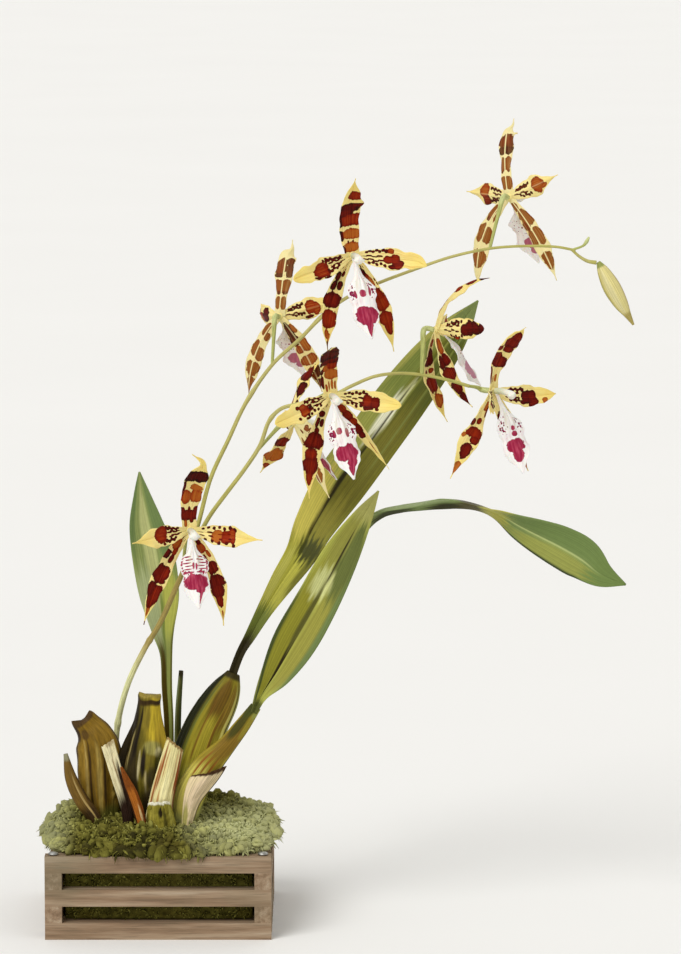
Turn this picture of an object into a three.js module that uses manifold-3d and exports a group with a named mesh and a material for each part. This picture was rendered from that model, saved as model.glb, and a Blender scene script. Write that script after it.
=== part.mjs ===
// A spotted orchid in flower, planted in a plain square basket of wooden sticks that is filled with moss.
// Millimetres, +Z up, and the front of the plant faces -Y.
// The origin is the centre of the basket's underside.
import * as THREE from 'three';
import { mergeVertices } from 'three/addons/utils/BufferGeometryUtils.js';
import Module from 'manifold-3d';

const wasm = await Module();
wasm.setup();

const DEGREE = Math.PI / 180;
const FRONT = new THREE.Vector3(0, -1, 0);
const GAP = 0.3; // left between pieces that touch in the real plant

// The basket: a stack of crossed sticks on two wires at each end, above a floor of sticks.
const BASKET_SIDE = 127;
const STICK = 9.5;
const FLOOR_STICKS = 7;
const WALL_LAYERS = 4;
const WIRE_RADIUS = 1.3;
const WIRE_HOLE_RADIUS = 1.6;
const WIRE_HEAD_RADIUS = 3;
const WIRE_HEAD_HEIGHT = 1.6;
const WIRE_INSET = STICK / 2;
const RIM_HEIGHT = STICK * (WALL_LAYERS + 1);

// The moss fills the basket and swells above its rim, highest behind the plant. Its mound is ringed,
// and a low wave roughens it.
const MOSS_CLEARANCE = 0.4;
const MOSS_OVERHANG = 2.5;
const MOSS_FRONT_HEIGHT = 57;
const MOSS_BACK_RISE = 6;
const MOSS_SIDES = 36;
const MOSS_BUMP = 1.6;

// Tepal thickness and the small round seat that the five of them share.
const TEPAL_THICKNESS = 0.8;
const TEPAL_STEPS = 7;
const TEPAL_FOLD = 10;
const TEPAL_WAVE = 0.9;
const SEAT_RADIUS = 2.2;
const SEAT_FRONT = 1.9;
const SEAT_BACK = 1.2;

// Stem radii.
const PEDUNCLE_RADIUS = 1.7;
const BRANCH_RADIUS = 1.25;
const BRANCH_TIP_RADIUS = 0.75;
const PEDICEL_RADIUS = 0.8;
const OVARY_RADIUS = 1.5;
const OVARY_REACH = 7;

const COLOURS = {
  wood: 0x9a7450,
  wire: 0x77776f,
  moss: 0x6e7a34,
  oldBulb: 0x7d6a3a,
  greenBulb: 0x6d7430,
  sheath: 0xd8c896,
  leaf: 0x6b8f3f,
  stem: 0x8a8f3c,
  tepal: 0xb0591f,
  lip: 0xead9dc,
  bud: 0xb3a556,
};

const group = new THREE.Group();

function material(colour, roughness = 0.6, metalness = 0) {
  return new THREE.MeshStandardMaterial({ color: colour, roughness, metalness });
}

function addMesh(parent, name, geometry, meshMaterial) {
  const mesh = new THREE.Mesh(geometry, meshMaterial);
  mesh.name = name;
  parent.add(mesh);
  return mesh;
}

// A closed three.js geometry as a solid that can be cut and joined.
function solidOf(geometry) {
  const bare = geometry.clone();
  bare.deleteAttribute('normal');
  bare.deleteAttribute('uv');
  const merged = mergeVertices(bare, 1e-4);
  return new wasm.Manifold(new wasm.Mesh({
    numProp: 3,
    vertProperties: new Float32Array(merged.attributes.position.array),
    triVerts: new Uint32Array(merged.index.array),
  }));
}

// The largest body of a solid as a three.js geometry; loose scraps are dropped.
function geometryOf(solid) {
  const largest = solid.decompose().sort((a, b) => b.volume() - a.volume())[0];
  const mesh = largest.getMesh();
  const geometry = new THREE.BufferGeometry();
  const count = mesh.numVert;
  const positions = new Float32Array(count * 3);
  for (let i = 0; i < count; i++) {
    positions.set(mesh.vertProperties.subarray(i * mesh.numProp, i * mesh.numProp + 3), i * 3);
  }
  geometry.setAttribute('position', new THREE.BufferAttribute(positions, 3));
  geometry.setIndex(new THREE.BufferAttribute(mesh.triVerts, 1));
  geometry.computeVertexNormals();
  return geometry;
}

function joined(solids) {
  return solids.reduce((all, solid) => all.add(solid));
}

// Blends a list of stations, each an equal-length list of numbers, along s from 0 to 1.
function blendStations(stations, s) {
  const last = stations.length - 1;
  const place = Math.min(Math.max(s, 0), 1) * last;
  const k = Math.min(Math.floor(place), last - 1);
  const u = place - k;
  const b = stations[k];
  const c = stations[k + 1];
  const a = k > 0 ? stations[k - 1] : b.map((value, i) => 2 * value - c[i]);
  const d = k + 2 <= last ? stations[k + 2] : c.map((value, i) => 2 * value - b[i]);
  return b.map((value, i) => 0.5 * (2 * value + (c[i] - a[i]) * u
    + (2 * a[i] - 5 * value + 4 * c[i] - d[i]) * u * u
    + (3 * value - a[i] - 3 * c[i] + d[i]) * u * u * u));
}

function stationPoint(stations, s) {
  const [x, y, z] = blendStations(stations, s);
  return new THREE.Vector3(x, y, z);
}

function stationTangent(stations, s) {
  const step = 0.004;
  const ahead = stationPoint(stations, Math.min(s + step, 1));
  return ahead.sub(stationPoint(stations, Math.max(s - step, 0))).normalize();
}

function indexedGeometry(points, triangles) {
  const geometry = new THREE.BufferGeometry().setFromPoints(points);
  geometry.setIndex(triangles);
  geometry.computeVertexNormals();
  return geometry;
}

function pushQuad(triangles, a, b, c, d) {
  triangles.push(a, b, c, a, c, d);
}

// A closed skin over rings of points, with a flat fan at each end.
function loft(rings) {
  const sides = rings[0].length;
  const points = rings.flat();
  const triangles = [];
  for (let i = 0; i + 1 < rings.length; i++) {
    for (let k = 0; k < sides; k++) {
      const next = (k + 1) % sides;
      pushQuad(triangles, i * sides + k, i * sides + next, (i + 1) * sides + next, (i + 1) * sides + k);
    }
  }
  const middle = (ring) => ring.reduce((sum, p) => sum.add(p), new THREE.Vector3()).divideScalar(sides);
  const start = points.length;
  points.push(middle(rings[0]), middle(rings[rings.length - 1]));
  const lastRing = (rings.length - 1) * sides;
  for (let k = 0; k < sides; k++) {
    const next = (k + 1) % sides;
    triangles.push(start, next, k, start + 1, lastRing + k, lastRing + next);
  }
  return indexedGeometry(points, triangles);
}

// A thin closed blade. Each frame has a middle point, a side and a normal direction, a half width,
// a fold angle that lifts both margins, and a margin wave.
function blade(frames, thickness, across = 2) {
  const points = [];
  const triangles = [];
  const columns = across + 1;
  const faceCount = frames.length * columns;
  for (const face of [1, -1]) {
    for (const f of frames) {
      for (let j = 0; j < columns; j++) {
        const t = (2 * j) / across - 1;
        const wave = f.wave ? f.wave[t < 0 ? 0 : 1] * t * t : 0;
        points.push(f.middle.clone()
          .addScaledVector(f.side, t * f.halfWidth * Math.cos(f.fold))
          .addScaledVector(f.normal, Math.abs(t) * f.halfWidth * Math.sin(f.fold) + wave
            + face * thickness / 2));
      }
    }
  }
  const at = (i, j) => i * columns + j;
  const under = (i, j) => faceCount + at(i, j);
  const last = frames.length - 1;
  for (let i = 0; i < last; i++) {
    for (let j = 0; j < across; j++) {
      pushQuad(triangles, at(i, j), at(i, j + 1), at(i + 1, j + 1), at(i + 1, j));
      triangles.push(under(i, j), under(i + 1, j + 1), under(i, j + 1));
      triangles.push(under(i, j), under(i + 1, j), under(i + 1, j + 1));
    }
    pushQuad(triangles, at(i, 0), at(i + 1, 0), under(i + 1, 0), under(i, 0));
    pushQuad(triangles, at(i, across), under(i, across), under(i + 1, across), at(i + 1, across));
  }
  for (let j = 0; j < across; j++) {
    pushQuad(triangles, at(0, j), under(0, j), under(0, j + 1), at(0, j + 1));
    pushQuad(triangles, at(last, j), at(last, j + 1), under(last, j + 1), under(last, j));
  }
  return indexedGeometry(points, triangles);
}

// Frames of a leaf or sheath from stations of x, y, z, half width, turn and fold.
// Turn 0 shows the upper face to the front; the fold lifts both margins towards that face.
function leafFrames(stations, steps, grow = 0) {
  const frames = [];
  for (let i = 0; i <= steps; i++) {
    const s = i / steps;
    const [x, y, z, halfWidth, turn, fold, skew = 0] = blendStations(stations, s);
    const tangent = stationTangent(stations, s);
    const side = new THREE.Vector3().crossVectors(tangent, FRONT).normalize();
    side.applyAxisAngle(tangent, turn * DEGREE);
    const normal = new THREE.Vector3().crossVectors(side, tangent);
    frames.push({
      middle: new THREE.Vector3(x, y, i === 0 ? z - grow : z),
      side: side.applyAxisAngle(normal, skew * DEGREE),
      normal,
      halfWidth: Math.max(halfWidth, 0.5) + grow,
      fold: fold * DEGREE,
    });
  }
  return frames;
}

// A round stem through stations of x, y, z and radius.
function stem(stations, steps, sides, grow = 0) {
  const rings = [];
  const across = new THREE.Vector3().crossVectors(stationTangent(stations, 0), FRONT).normalize();
  for (let i = 0; i <= steps; i++) {
    const s = i / steps;
    const tangent = stationTangent(stations, s);
    across.addScaledVector(tangent, -across.dot(tangent)).normalize();
    const away = new THREE.Vector3().crossVectors(tangent, across);
    const [x, y, z, stationRadius] = blendStations(stations, s);
    const radius = stationRadius + grow;
    const ring = [];
    for (let k = 0; k < sides; k++) {
      const angle = (k / sides) * 2 * Math.PI;
      ring.push(new THREE.Vector3(x, y, z)
        .addScaledVector(across, radius * Math.cos(angle))
        .addScaledVector(away, radius * Math.sin(angle)));
    }
    if (i === 0) ring.forEach((point) => point.setZ(point.z - grow));
    rings.push(ring);
  }
  return loft(rings);
}

function box(sizeX, sizeY, sizeZ, x, y, z) {
  return new THREE.BoxGeometry(sizeX, sizeY, sizeZ).translate(x, y, z);
}

const wirePlace = BASKET_SIDE / 2 - WIRE_INSET;

function wireHoles() {
  const holes = [];
  for (const x of [-wirePlace, wirePlace]) {
    for (const y of [-wirePlace, wirePlace]) {
      const hole = new THREE.CylinderGeometry(WIRE_HOLE_RADIUS, WIRE_HOLE_RADIUS, 2 * RIM_HEIGHT, 8);
      holes.push(solidOf(hole.rotateX(Math.PI / 2).translate(x, y, RIM_HEIGHT / 2)));
    }
  }
  return joined(holes);
}

function buildBasket() {
  const wood = material(COLOURS.wood, 0.75);
  const holes = wireHoles();
  const drilled = (geometry) => geometryOf(solidOf(geometry).subtract(holes));
  const pitch = (BASKET_SIDE - STICK) / (FLOOR_STICKS - 1);
  for (let i = 0; i < FLOOR_STICKS; i++) {
    const y = -(BASKET_SIDE - STICK) / 2 + i * pitch;
    const stick = box(BASKET_SIDE, STICK, STICK, 0, y, STICK / 2);
    const atEdge = i === 0 || i === FLOOR_STICKS - 1;
    addMesh(group, `floor_stick_${i + 1}`, atEdge ? drilled(stick) : stick, wood);
  }
  for (let layer = 0; layer < WALL_LAYERS; layer++) {
    const z = STICK * (layer + 1.5);
    const alongY = layer % 2 === 0;
    for (const end of [-1, 1]) {
      const offset = end * (BASKET_SIDE - STICK) / 2;
      const stick = alongY
        ? box(STICK, BASKET_SIDE, STICK, offset, 0, z)
        : box(BASKET_SIDE, STICK, STICK, 0, offset, z);
      const sideName = alongY ? (end < 0 ? 'left' : 'right') : (end < 0 ? 'front' : 'back');
      addMesh(group, `wall_stick_${sideName}_${layer + 1}`, drilled(stick), wood);
    }
  }
  const wire = material(COLOURS.wire, 0.45, 0.9);
  const bottom = 1;
  const top = RIM_HEIGHT + GAP + WIRE_HEAD_HEIGHT;
  const profile = [
    [0, bottom], [WIRE_RADIUS, bottom], [WIRE_RADIUS, RIM_HEIGHT + GAP],
    [WIRE_HEAD_RADIUS, RIM_HEIGHT + GAP], [WIRE_HEAD_RADIUS * 0.8, top], [0, top],
  ].map(([r, z]) => new THREE.Vector2(r, z));
  let number = 0;
  for (const x of [-wirePlace, wirePlace]) {
    for (const y of [-wirePlace, wirePlace]) {
      number += 1;
      const geometry = new THREE.LatheGeometry(profile, 8).rotateX(Math.PI / 2).translate(x, y, 0);
      addMesh(group, `corner_wire_${number}`, geometryOf(solidOf(geometry)), wire);
    }
  }
}

const BULB_STEPS = 9;
const BULB_SIDES = 16;

// A ribbed, flattened bulb along stations of x, y, z and half width.
function bulb(shape, grow = 0) {
  const { stations, flat, ribs, ribDepth, ribPhase } = shape;
  const rings = [];
  for (let i = 0; i <= BULB_STEPS; i++) {
    const s = i / BULB_STEPS;
    const [x, y, z, halfWidth] = blendStations(stations, s);
    const tangent = stationTangent(stations, s);
    const right = new THREE.Vector3().crossVectors(tangent, FRONT).normalize();
    const away = new THREE.Vector3().crossVectors(tangent, right);
    const ring = [];
    for (let k = 0; k < BULB_SIDES; k++) {
      const angle = (k / BULB_SIDES) * 2 * Math.PI;
      const ribShare = ribDepth * Math.sin(Math.PI * Math.min(s + 0.1, 1));
      const rib = 1 + ribShare * Math.cos(ribs * angle + ribPhase + s);
      const reach = halfWidth * rib + grow;
      const depth = halfWidth * rib * flat + grow;
      ring.push(new THREE.Vector3(x, y, z)
        .addScaledVector(right, reach * Math.cos(angle))
        .addScaledVector(away, depth * Math.sin(angle)));
    }
    if (i === 0) ring.forEach((point) => point.setZ(point.z - grow));
    rings.push(ring);
  }
  return loft(rings);
}

const BULBS = {
  pseudobulb_oldest: {
    stations: [[-33, -13, 50, 2.5], [-38.5, -13, 60, 3.8], [-45.5, -13, 70, 4], [-51, -12, 82, 3.4],
      [-54, -11, 96, 1.2]],
    flat: 0.8, ribs: 3, ribDepth: 0.1, ribPhase: 0, colour: COLOURS.oldBulb,
  },
  pseudobulb_brown: {
    stations: [[-32, 1, 49, 6], [-34, 1, 64, 10.4], [-34.6, 1, 79, 12], [-35.4, 1, 94, 12],
      [-38, 1, 104.6, 10.2], [-44.4, 1, 113.4, 5.4]],
    flat: 0.78, ribs: 5, ribDepth: 0.09, ribPhase: 0.8, colour: COLOURS.oldBulb,
  },
  pseudobulb_middle: {
    stations: [[-6.5, -6, 49, 6.5], [-8.5, -6, 65, 10.8], [-9.5, -6, 82, 13.6], [-8.6, -6, 98, 12.4],
      [-6.8, -6, 114, 8.2], [-6.2, -6, 129, 5.8]],
    flat: 0.74, ribs: 6, ribDepth: 0.1, ribPhase: 0.3, colour: COLOURS.greenBulb,
  },
  pseudobulb_leaning: {
    stations: [[9.5, 9, 50, 6], [12.5, 9, 65, 10.8], [16.2, 9, 80, 12.8], [20.6, 9, 95, 12.8],
      [26, 9, 109, 11.8], [32.2, 9, 120.6, 10.8], [37.3, 9, 130.4, 8.4], [41.2, 9, 139, 3.8]],
    flat: 0.62, ribs: 4, ribDepth: 0.07, ribPhase: 1.2, colour: COLOURS.greenBulb,
  },
};

// The base of the newest growth, a flattened fan of leaf bases that the two right-hand leaves leave.
const YOUNG_SHOOT = {
  stations: [[12.5, -13, 49, 5], [14, -13, 60, 7], [17.5, -13, 74, 8.4], [26, -13, 88.6, 7.6],
    [37.6, -13, 101.4, 5.2], [46.4, -13, 112.6, 4.4], [54.2, -13, 123.6, 3.2]],
  flat: 0.6, ribs: 2, ribDepth: 0.04, ribPhase: 0, colour: COLOURS.greenBulb,
};

const LEAF_THICKNESS = 1;

// Each leaf's stations are x, y, z, half width, turn and fold.
const LEAVES = {
  leaf_left: {
    steps: 20,
    stations: [[4, 21, 50, 3.3, 0, 45], [4, 21, 80, 3.4, 0, 45], [3.8, 21, 108, 3.6, 0, 45],
      [2.8, 21, 128, 3.8, 0, 42], [2.4, 22, 147.4, 4.2, 0, 36], [0.5, 23, 162, 7.4, 0, 28],
      [-1.3, 24, 182, 12, 0, 20], [-5, 25, 206, 12.4, 0, 14], [-8.9, 26, 223, 9.8, 0, 12],
      [-11.2, 27, 239, 5, 0, 10], [-12.7, 27, 252.4, 0.5, 0, 8]],
  },
  leaf_stub: {
    steps: 6,
    stations: [[8.6, 27, 52, 2.2, 0, 20], [8.4, 27, 84, 2.1, 0, 20], [9, 26, 113, 1.8, 0, 20],
      [10.8, 25, 137.6, 1.3, 0, 20]],
  },
  leaf_long: {
    growsFrom: 'pseudobulb_leaning',
    steps: 26,
    stations: [[39.4, 9, 135.5, 2.9, 0, 35], [45, 10, 150.3, 2.9, 0, 35], [50.6, 12, 160, 3.6, 0, 30],
      [59.4, 16, 175.2, 5.2, 0, 24], [69.2, 22, 190.2, 7.6, 0, 18], [79.7, 30, 205, 9.6, 0, 14],
      [87.6, 38, 220.8, 12.4, 0, 16], [101.4, 46, 242.4, 15.8, 0, 18], [120, 51, 267.4, 15.8, 0, 18],
      [138, 54, 292, 15.4, 0, 16], [156, 55, 315.4, 13, 0, 14], [169.5, 54, 333, 8.4, 8, 12],
      [181, 50, 348.2, 0.5, 16, 8]],
  },
  leaf_front: {
    growsFrom: 'young_shoot',
    steps: 18,
    stations: [[53, -15, 120.6, 2.3, 0, 45], [57.6, -15, 130.6, 4.2, 0, 40], [65.6, -14, 143, 9.6, 0, 26],
      [76, -12, 161, 13.2, 0, 20], [89, -9, 183.6, 12.8, 0, 18], [102.2, -5, 209, 10.8, 0, 16],
      [114.8, -1, 230.6, 5.8, 0, 14], [123.8, 2, 245, 0.5, 0, 12]],
  },
  leaf_arching: {
    growsFrom: 'young_shoot',
    steps: 32,
    stations: [[53, -10.8, 121, 1.9, 0, 30], [59.4, -7, 138, 4, 0, 26], [70, -1, 160, 6.4, 0, 20],
      [86, 4, 186, 7.6, 0, 16], [101, 8, 208.6, 7.6, 10, 16], [113, 10, 224.2, 6.6, 44, 20],
      [124, 10, 232, 6.2, 62, 24], [136, 9.5, 235, 6.2, 70, 26], [147.5, 8, 237, 6.8, 68, 26],
      [158.5, 6, 239, 7.4, 58, 22], [168, 4, 239, 7.4, 64, 20], [177, 2, 237.4, 7.2, 72, 16],
      [185, 0, 235, 7.2, 72, 12], [193.5, -2, 231.8, 7.8, 56, 10], [204, -4, 226, 9.8, 36, 10],
      [215.5, -6, 220.4, 11.2, 18, 10], [227, -8, 214.8, 12.4, 6, 10], [238.5, -9.5, 208.1, 12.2, 0, 10],
      [250, -10.5, 199, 7.6, 0, 10], [263.6, -11, 193.2, 0.5, 0, 8]],
  },
};

// Dry sheaths that wrap the foot of a bulb, so their folds turn away from the front.
// Each station is x, y, z, half width, turn, fold and an optional skew of the cut.
const SHEATHS = {
  sheath_cream_narrow: {
    thickness: 0.8,
    stations: [[-17.5, -19, 50, 3, 0, -20], [-19.5, -18.5, 66, 3.2, 0, -20], [-24.5, -17, 84, 3.2, 0, -20],
      [-30, -15.5, 103, 2.6, 0, -10]],
  },
  sheath_orange: {
    thickness: 0.8,
    stations: [[-9, -23.5, 50, 2.6, 0, -25], [-11.6, -23.5, 62, 3.2, 0, -25], [-15.8, -22.5, 75, 3.2, 0, -25],
      [-22, -20.5, 90, 0.6, 0, -10]],
  },
  sheath_cream_broad: {
    thickness: 0.8,
    stations: [[-1.5, -23.5, 58, 8, 0, -22], [1, -23.5, 73, 7.4, 0, -24], [4.6, -22.8, 88, 6.8, 0, -24],
      [8.6, -21.5, 104, 5.6, 0, -20]],
  },
  sheath_green_cut: {
    thickness: 2.2,
    stations: [[1, -29.5, 48, 8.6, 0, -25], [0.6, -29.5, 56, 9.4, 0, -28], [0, -29, 64, 8.6, 0, -28],
      [-0.5, -28.4, 71.5, 6.4, 0, -24]],
  },
  sheath_grey: {
    thickness: 0.8,
    stations: [[14.4, -24, 49, 3, 0, -30, 0], [15.8, -24, 61, 4, 0, -34, 0],
      [19.2, -24, 73.5, 6.8, 0, -36, 14],
      [28, -23.4, 87.6, 12, 0, -32, 48]],
  },
};
const SHEATH_STEPS = 6;

// The flower stem and its branches: x, y, z and radius.
const PEDUNCLE = [[-25, 17, 49, PEDUNCLE_RADIUS], [-26.8, 17, 78, PEDUNCLE_RADIUS],
  [-25.7, 16, 106, PEDUNCLE_RADIUS], [-19.6, 13, 131, 1.65], [-10, 10, 152, 1.6], [-0.2, 7, 169, 1.55],
  [10, 5, 192, 1.5], [23.4, 4, 222, 1.4]];

const UPPER_BRANCH = [[12, 5, 196.5, BRANCH_RADIUS], [21, 6, 224, BRANCH_RADIUS], [28.3, 9, 250.7, 1.22],
  [38.5, 13, 272.7, 1.2], [48.7, 16, 293.9, 1.15], [63.4, 18, 315, 1.1], [79.2, 16, 330, 1.1],
  [93.4, 12, 345, 1.05], [107.5, 8, 355.4, 1], [123.4, 4, 363, 0.95], [141.5, 1, 370.2, 0.9],
  [164.1, 0, 378.2, 0.85], [186.2, 0, 383, 0.8], [206, 0, 384.4, 0.75], [223, 0, 384, 0.75],
  [234.4, 0, 382, 0.75]];

const LOWER_BRANCH = [[20.6, 4, 217, BRANCH_RADIUS], [28.2, 4, 230.6, BRANCH_RADIUS], [37.6, 3, 243.6, 1.22],
  [47.4, 3, 256.6, 1.2], [56.4, 3, 270.4, 1.2], [61.6, 2, 284.4, 1.15], [68.4, 0, 292, 1.15],
  [77.4, -3, 295, 1.1], [88, -5, 297.4, 1.1], [99, -6, 301, 1.05], [108.7, -6, 306, 1],
  [121.2, -6, 311.2, 0.95], [134, -6, 313, 0.9], [148, -6, 312.2, 0.9], [163, -6, 309.2, 0.9],
  [175, -5.5, 305.6, 1]];

const TIP_BUD = [[233, 0, 382.4, 0.7], [238.4, 0, 384.4, 0.7], [240.7, 0, 387, 1.1], [242, 0, 389.6, 0.5]];

const BUD_STALK = [[232, 0, 382.7, 0.75], [236.3, 0, 378.8, 0.85], [241, 0, 376, 1], [246.2, 0, 375, 1.2]];

const BUD = {
  stations: [[247.3, 0, 375.4, 1.2], [250.6, 0, 369.6, 3.6], [255.2, 0, 361, 4.9], [260.2, 0, 352, 4],
    [264, 0, 345.6, 2.1], [267.4, 0, 339.8, 0.6]],
  flat: 0.85, ribs: 3, ribDepth: 0.08, ribPhase: 0.6, colour: COLOURS.bud,
};

// Seen from its own front a bloom has +X to the right, +Y up and +Z towards the viewer.
// The outline of each kind of tepal: neck is its share of the full width at the seat, widest is the
// place of its full width along its length, and twist is its roll along its length in degrees.
const TEPAL_KINDS = {
  dorsal: { halfWidth: 5.8, neck: 0.72, widest: 0.68, twist: 6 },
  petalRight: { halfWidth: 6.1, neck: 0.3, widest: 0.54, twist: -10 },
  petalLeft: { halfWidth: 6.1, neck: 0.3, widest: 0.54, twist: 10 },
  sepalRight: { halfWidth: 5.8, neck: 0.34, widest: 0.62, twist: 14 },
  sepalLeft: { halfWidth: 5.8, neck: 0.34, widest: 0.62, twist: -14 },
};

// The pose of each bloom and of its tepals. yaw turns it to the right and past 90 away from the front.
// A tepal is aim, sweep, rise, curl and length: its direction clockwise from up, the further turn
// along its length, its lean towards the bloom's front and the further lean along its length; a
// sixth number is a twist of its own, and a seventh is its roll at the seat.
// The lip is tilt to the right, lift towards the front, twist and share of its full length. stalk is
// where the bloom's stalk leaves its branch. Angles in degrees.
const BLOOMS = {
  bloom_1_lowest: {
    at: [17, -14, 224.8], yaw: 14, stalk: [12.5, 5, 198],
    dorsal: [-7, 33, 4, 54, 49],
    petalRight: [100, -6, 20, 4, 42],
    petalLeft: [-96, 0, 20, 8, 40],
    sepalRight: [144, 34, 8, -10, 59],
    sepalLeft: [-137, -31, 8, -10, 60],
    lip: [1.5, 0, 0, 0.92],
  },
  bloom_2_upper: {
    at: [109, -12, 380.4], yaw: 15, stalk: [100, 10, 350.4],
    dorsal: [-11, 12, 4, 44, 51.5],
    petalRight: [95.5, 0, 20, 2, 42.5],
    petalLeft: [-110, 9, 20, 8, 44.5],
    sepalRight: [145, 24, 8, -10, 60],
    sepalLeft: [-142, -44, 8, -10, 57],
    lip: [7, 0, 0, 1],
  },
  bloom_3_turned_away: {
    at: [67.4, 27, 341.7], yaw: 160, stalk: [63.4, 18, 315],
    dorsal: [-4, 10, 2, 46, 45],
    petalRight: [92, 4, 26, 56, 38],
    petalLeft: [-74, 0, 24, 12, 34],
    sepalRight: [134, 46, 6, -4, 53],
    sepalLeft: [-138, -24, 6, -4, 50],
    lip: [-9, 8.5, 0, 0.87],
  },
  bloom_4_centre: {
    at: [96.8, -31, 303.5], yaw: 15, stalk: [86, -4.6, 297],
    dorsal: [-11, 0, 4, 80, 47],
    petalRight: [98, 0, 20, 3, 40],
    petalLeft: [-114, 10, 20, 8, 42.5],
    sepalRight: [138, 8, 8, -10, 54, 80],
    sepalLeft: [-149, -36, 8, -10, 60],
    lip: [10, 0, 0, 1],
  },
  bloom_5_behind: {
    at: [75.8, 16, 282], yaw: 112, stalk: [53.6, 3, 266],
    dorsal: [0, 0, -8, 66, 40],
    petalRight: [92, 4, 8, 0, 36],
    petalLeft: [-112, 0, 20, 0, 26],
    sepalRight: [150, -8, -22, 6, 39, 20, 40],
    sepalLeft: [-153, 0, 16, 0, 48],
    lip: [0, 13, 0, 0.84],
  },
  bloom_6_side: {
    at: [156.2, 10, 336.2], yaw: 104, stalk: [148, -6, 312.2],
    dorsal: [0, 0, 8, 80, 46],
    petalRight: [88, 0, 30, 6, 36],
    petalLeft: [-84, 0, 28, 8, 42],
    sepalRight: [166, 0, -20, 56, 60, 20, 45],
    sepalLeft: [-161, 0, 0, 42, 50, 20, 50],
    lip: [0, 14, 40, 0.82],
  },
  bloom_7_end: {
    at: [187.9, -5, 303], yaw: 52, stalk: [174.4, -5.5, 305.8],
    dorsal: [0, 14, 0, 60, 46, -30],
    petalRight: [108, -24, 20, 6, 42],
    petalLeft: [-104, 0, 30, 8, 40],
    sepalRight: [152, 2, 8, 0, 54],
    sepalLeft: [-156, 0, -14, 0, 55, 46],
    lip: [0, 1, 60, 1],
  },
  bloom_8_top: {
    at: [197.2, 15, 410.8], yaw: 150, stalk: [186.2, 0, 383],
    dorsal: [13, 0, 2, 46, 48],
    petalRight: [89, 0, 20, 4, 37.5],
    petalLeft: [-68, 4, 0, 0, 34],
    sepalRight: [129, 54, 6, -4, 56],
    sepalLeft: [-138, -20, 6, -4, 55],
    lip: [-7, 10.5, 0, 0.96],
  },
};

// The lip: distance forward, distance up and half width at stations along its middle line.
const LIP_STATIONS = [[3, -0.8, 1.3], [5.4, -5.6, 1.5], [8.5, -11, 3], [11.5, -16, 8.2], [13.5, -21, 8.3],
  [15, -26, 6.9], [16.5, -31, 8.1], [18, -36, 6.6], [19.5, -41, 2.8], [21, -45.5, 0.5]];
const LIP_STEPS = 9;
const LIP_THICKNESS = 0.8;
const LIP_FOLD = -16;

// The column: distance forward, distance up and radius.
const COLUMN_STATIONS = [[2.2, 0, 1.9], [6.5, 0.2, 1.7], [10.5, -0.4, 1.9], [13.6, -1.6, 2.4],
  [15.4, -2.4, 1.5]];

// Half width along a tepal: from the neck to the widest part, then to a drawn-out point.
function tepalHalfWidth(kind, s) {
  const { halfWidth, widest, neck } = kind;
  if (s < widest) {
    return halfWidth * (neck + (1 - neck) * Math.sin((Math.PI / 2) * (s / widest)) ** 1.3);
  }
  const u = (s - widest) / (1 - widest);
  return Math.max(halfWidth * (1 - u * u * (3 - 2 * u)), 0.4);
}

function tepalFrames(kind, pose) {
  const [aimStart, sweep, rise, curl, length, twist = kind.twist, roll = 0] = pose;
  const frames = [];
  const middle = new THREE.Vector3();
  const walkPerStep = 6;
  const walkSteps = TEPAL_STEPS * walkPerStep;
  for (let k = 0; k <= walkSteps; k++) {
    const s = k / walkSteps;
    const aim = (aimStart + sweep * s) * DEGREE;
    const lean = (rise + curl * s) * DEGREE;
    const outward = new THREE.Vector3(Math.sin(aim), Math.cos(aim), 0);
    const tangent = outward.multiplyScalar(Math.cos(lean)).setZ(Math.sin(lean));
    if (k % walkPerStep === 0) {
      const side = new THREE.Vector3(Math.cos(aim), -Math.sin(aim), 0);
      side.applyAxisAngle(tangent, (roll + twist * s) * DEGREE);
      const waveHeight = TEPAL_WAVE * Math.sin(Math.PI * s);
      frames.push({
        middle: middle.clone(),
        side,
        normal: new THREE.Vector3().crossVectors(side, tangent),
        halfWidth: tepalHalfWidth(kind, s),
        fold: TEPAL_FOLD * DEGREE,
        wave: [waveHeight * Math.sin(14 * s + aimStart), waveHeight * Math.sin(14 * s + 2 + aimStart)],
      });
    }
    middle.addScaledVector(tangent, length / walkSteps);
  }
  return frames;
}

function bloomTepals(bloom) {
  const seat = new THREE.CylinderGeometry(SEAT_RADIUS, SEAT_RADIUS, SEAT_FRONT + SEAT_BACK, 8);
  seat.rotateX(Math.PI / 2).translate(0, 0, (SEAT_FRONT - SEAT_BACK) / 2);
  const solids = [solidOf(seat)];
  for (const [name, kind] of Object.entries(TEPAL_KINDS)) {
    solids.push(solidOf(blade(tepalFrames(kind, bloom[name]), TEPAL_THICKNESS)));
  }
  return geometryOf(joined(solids));
}

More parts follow.
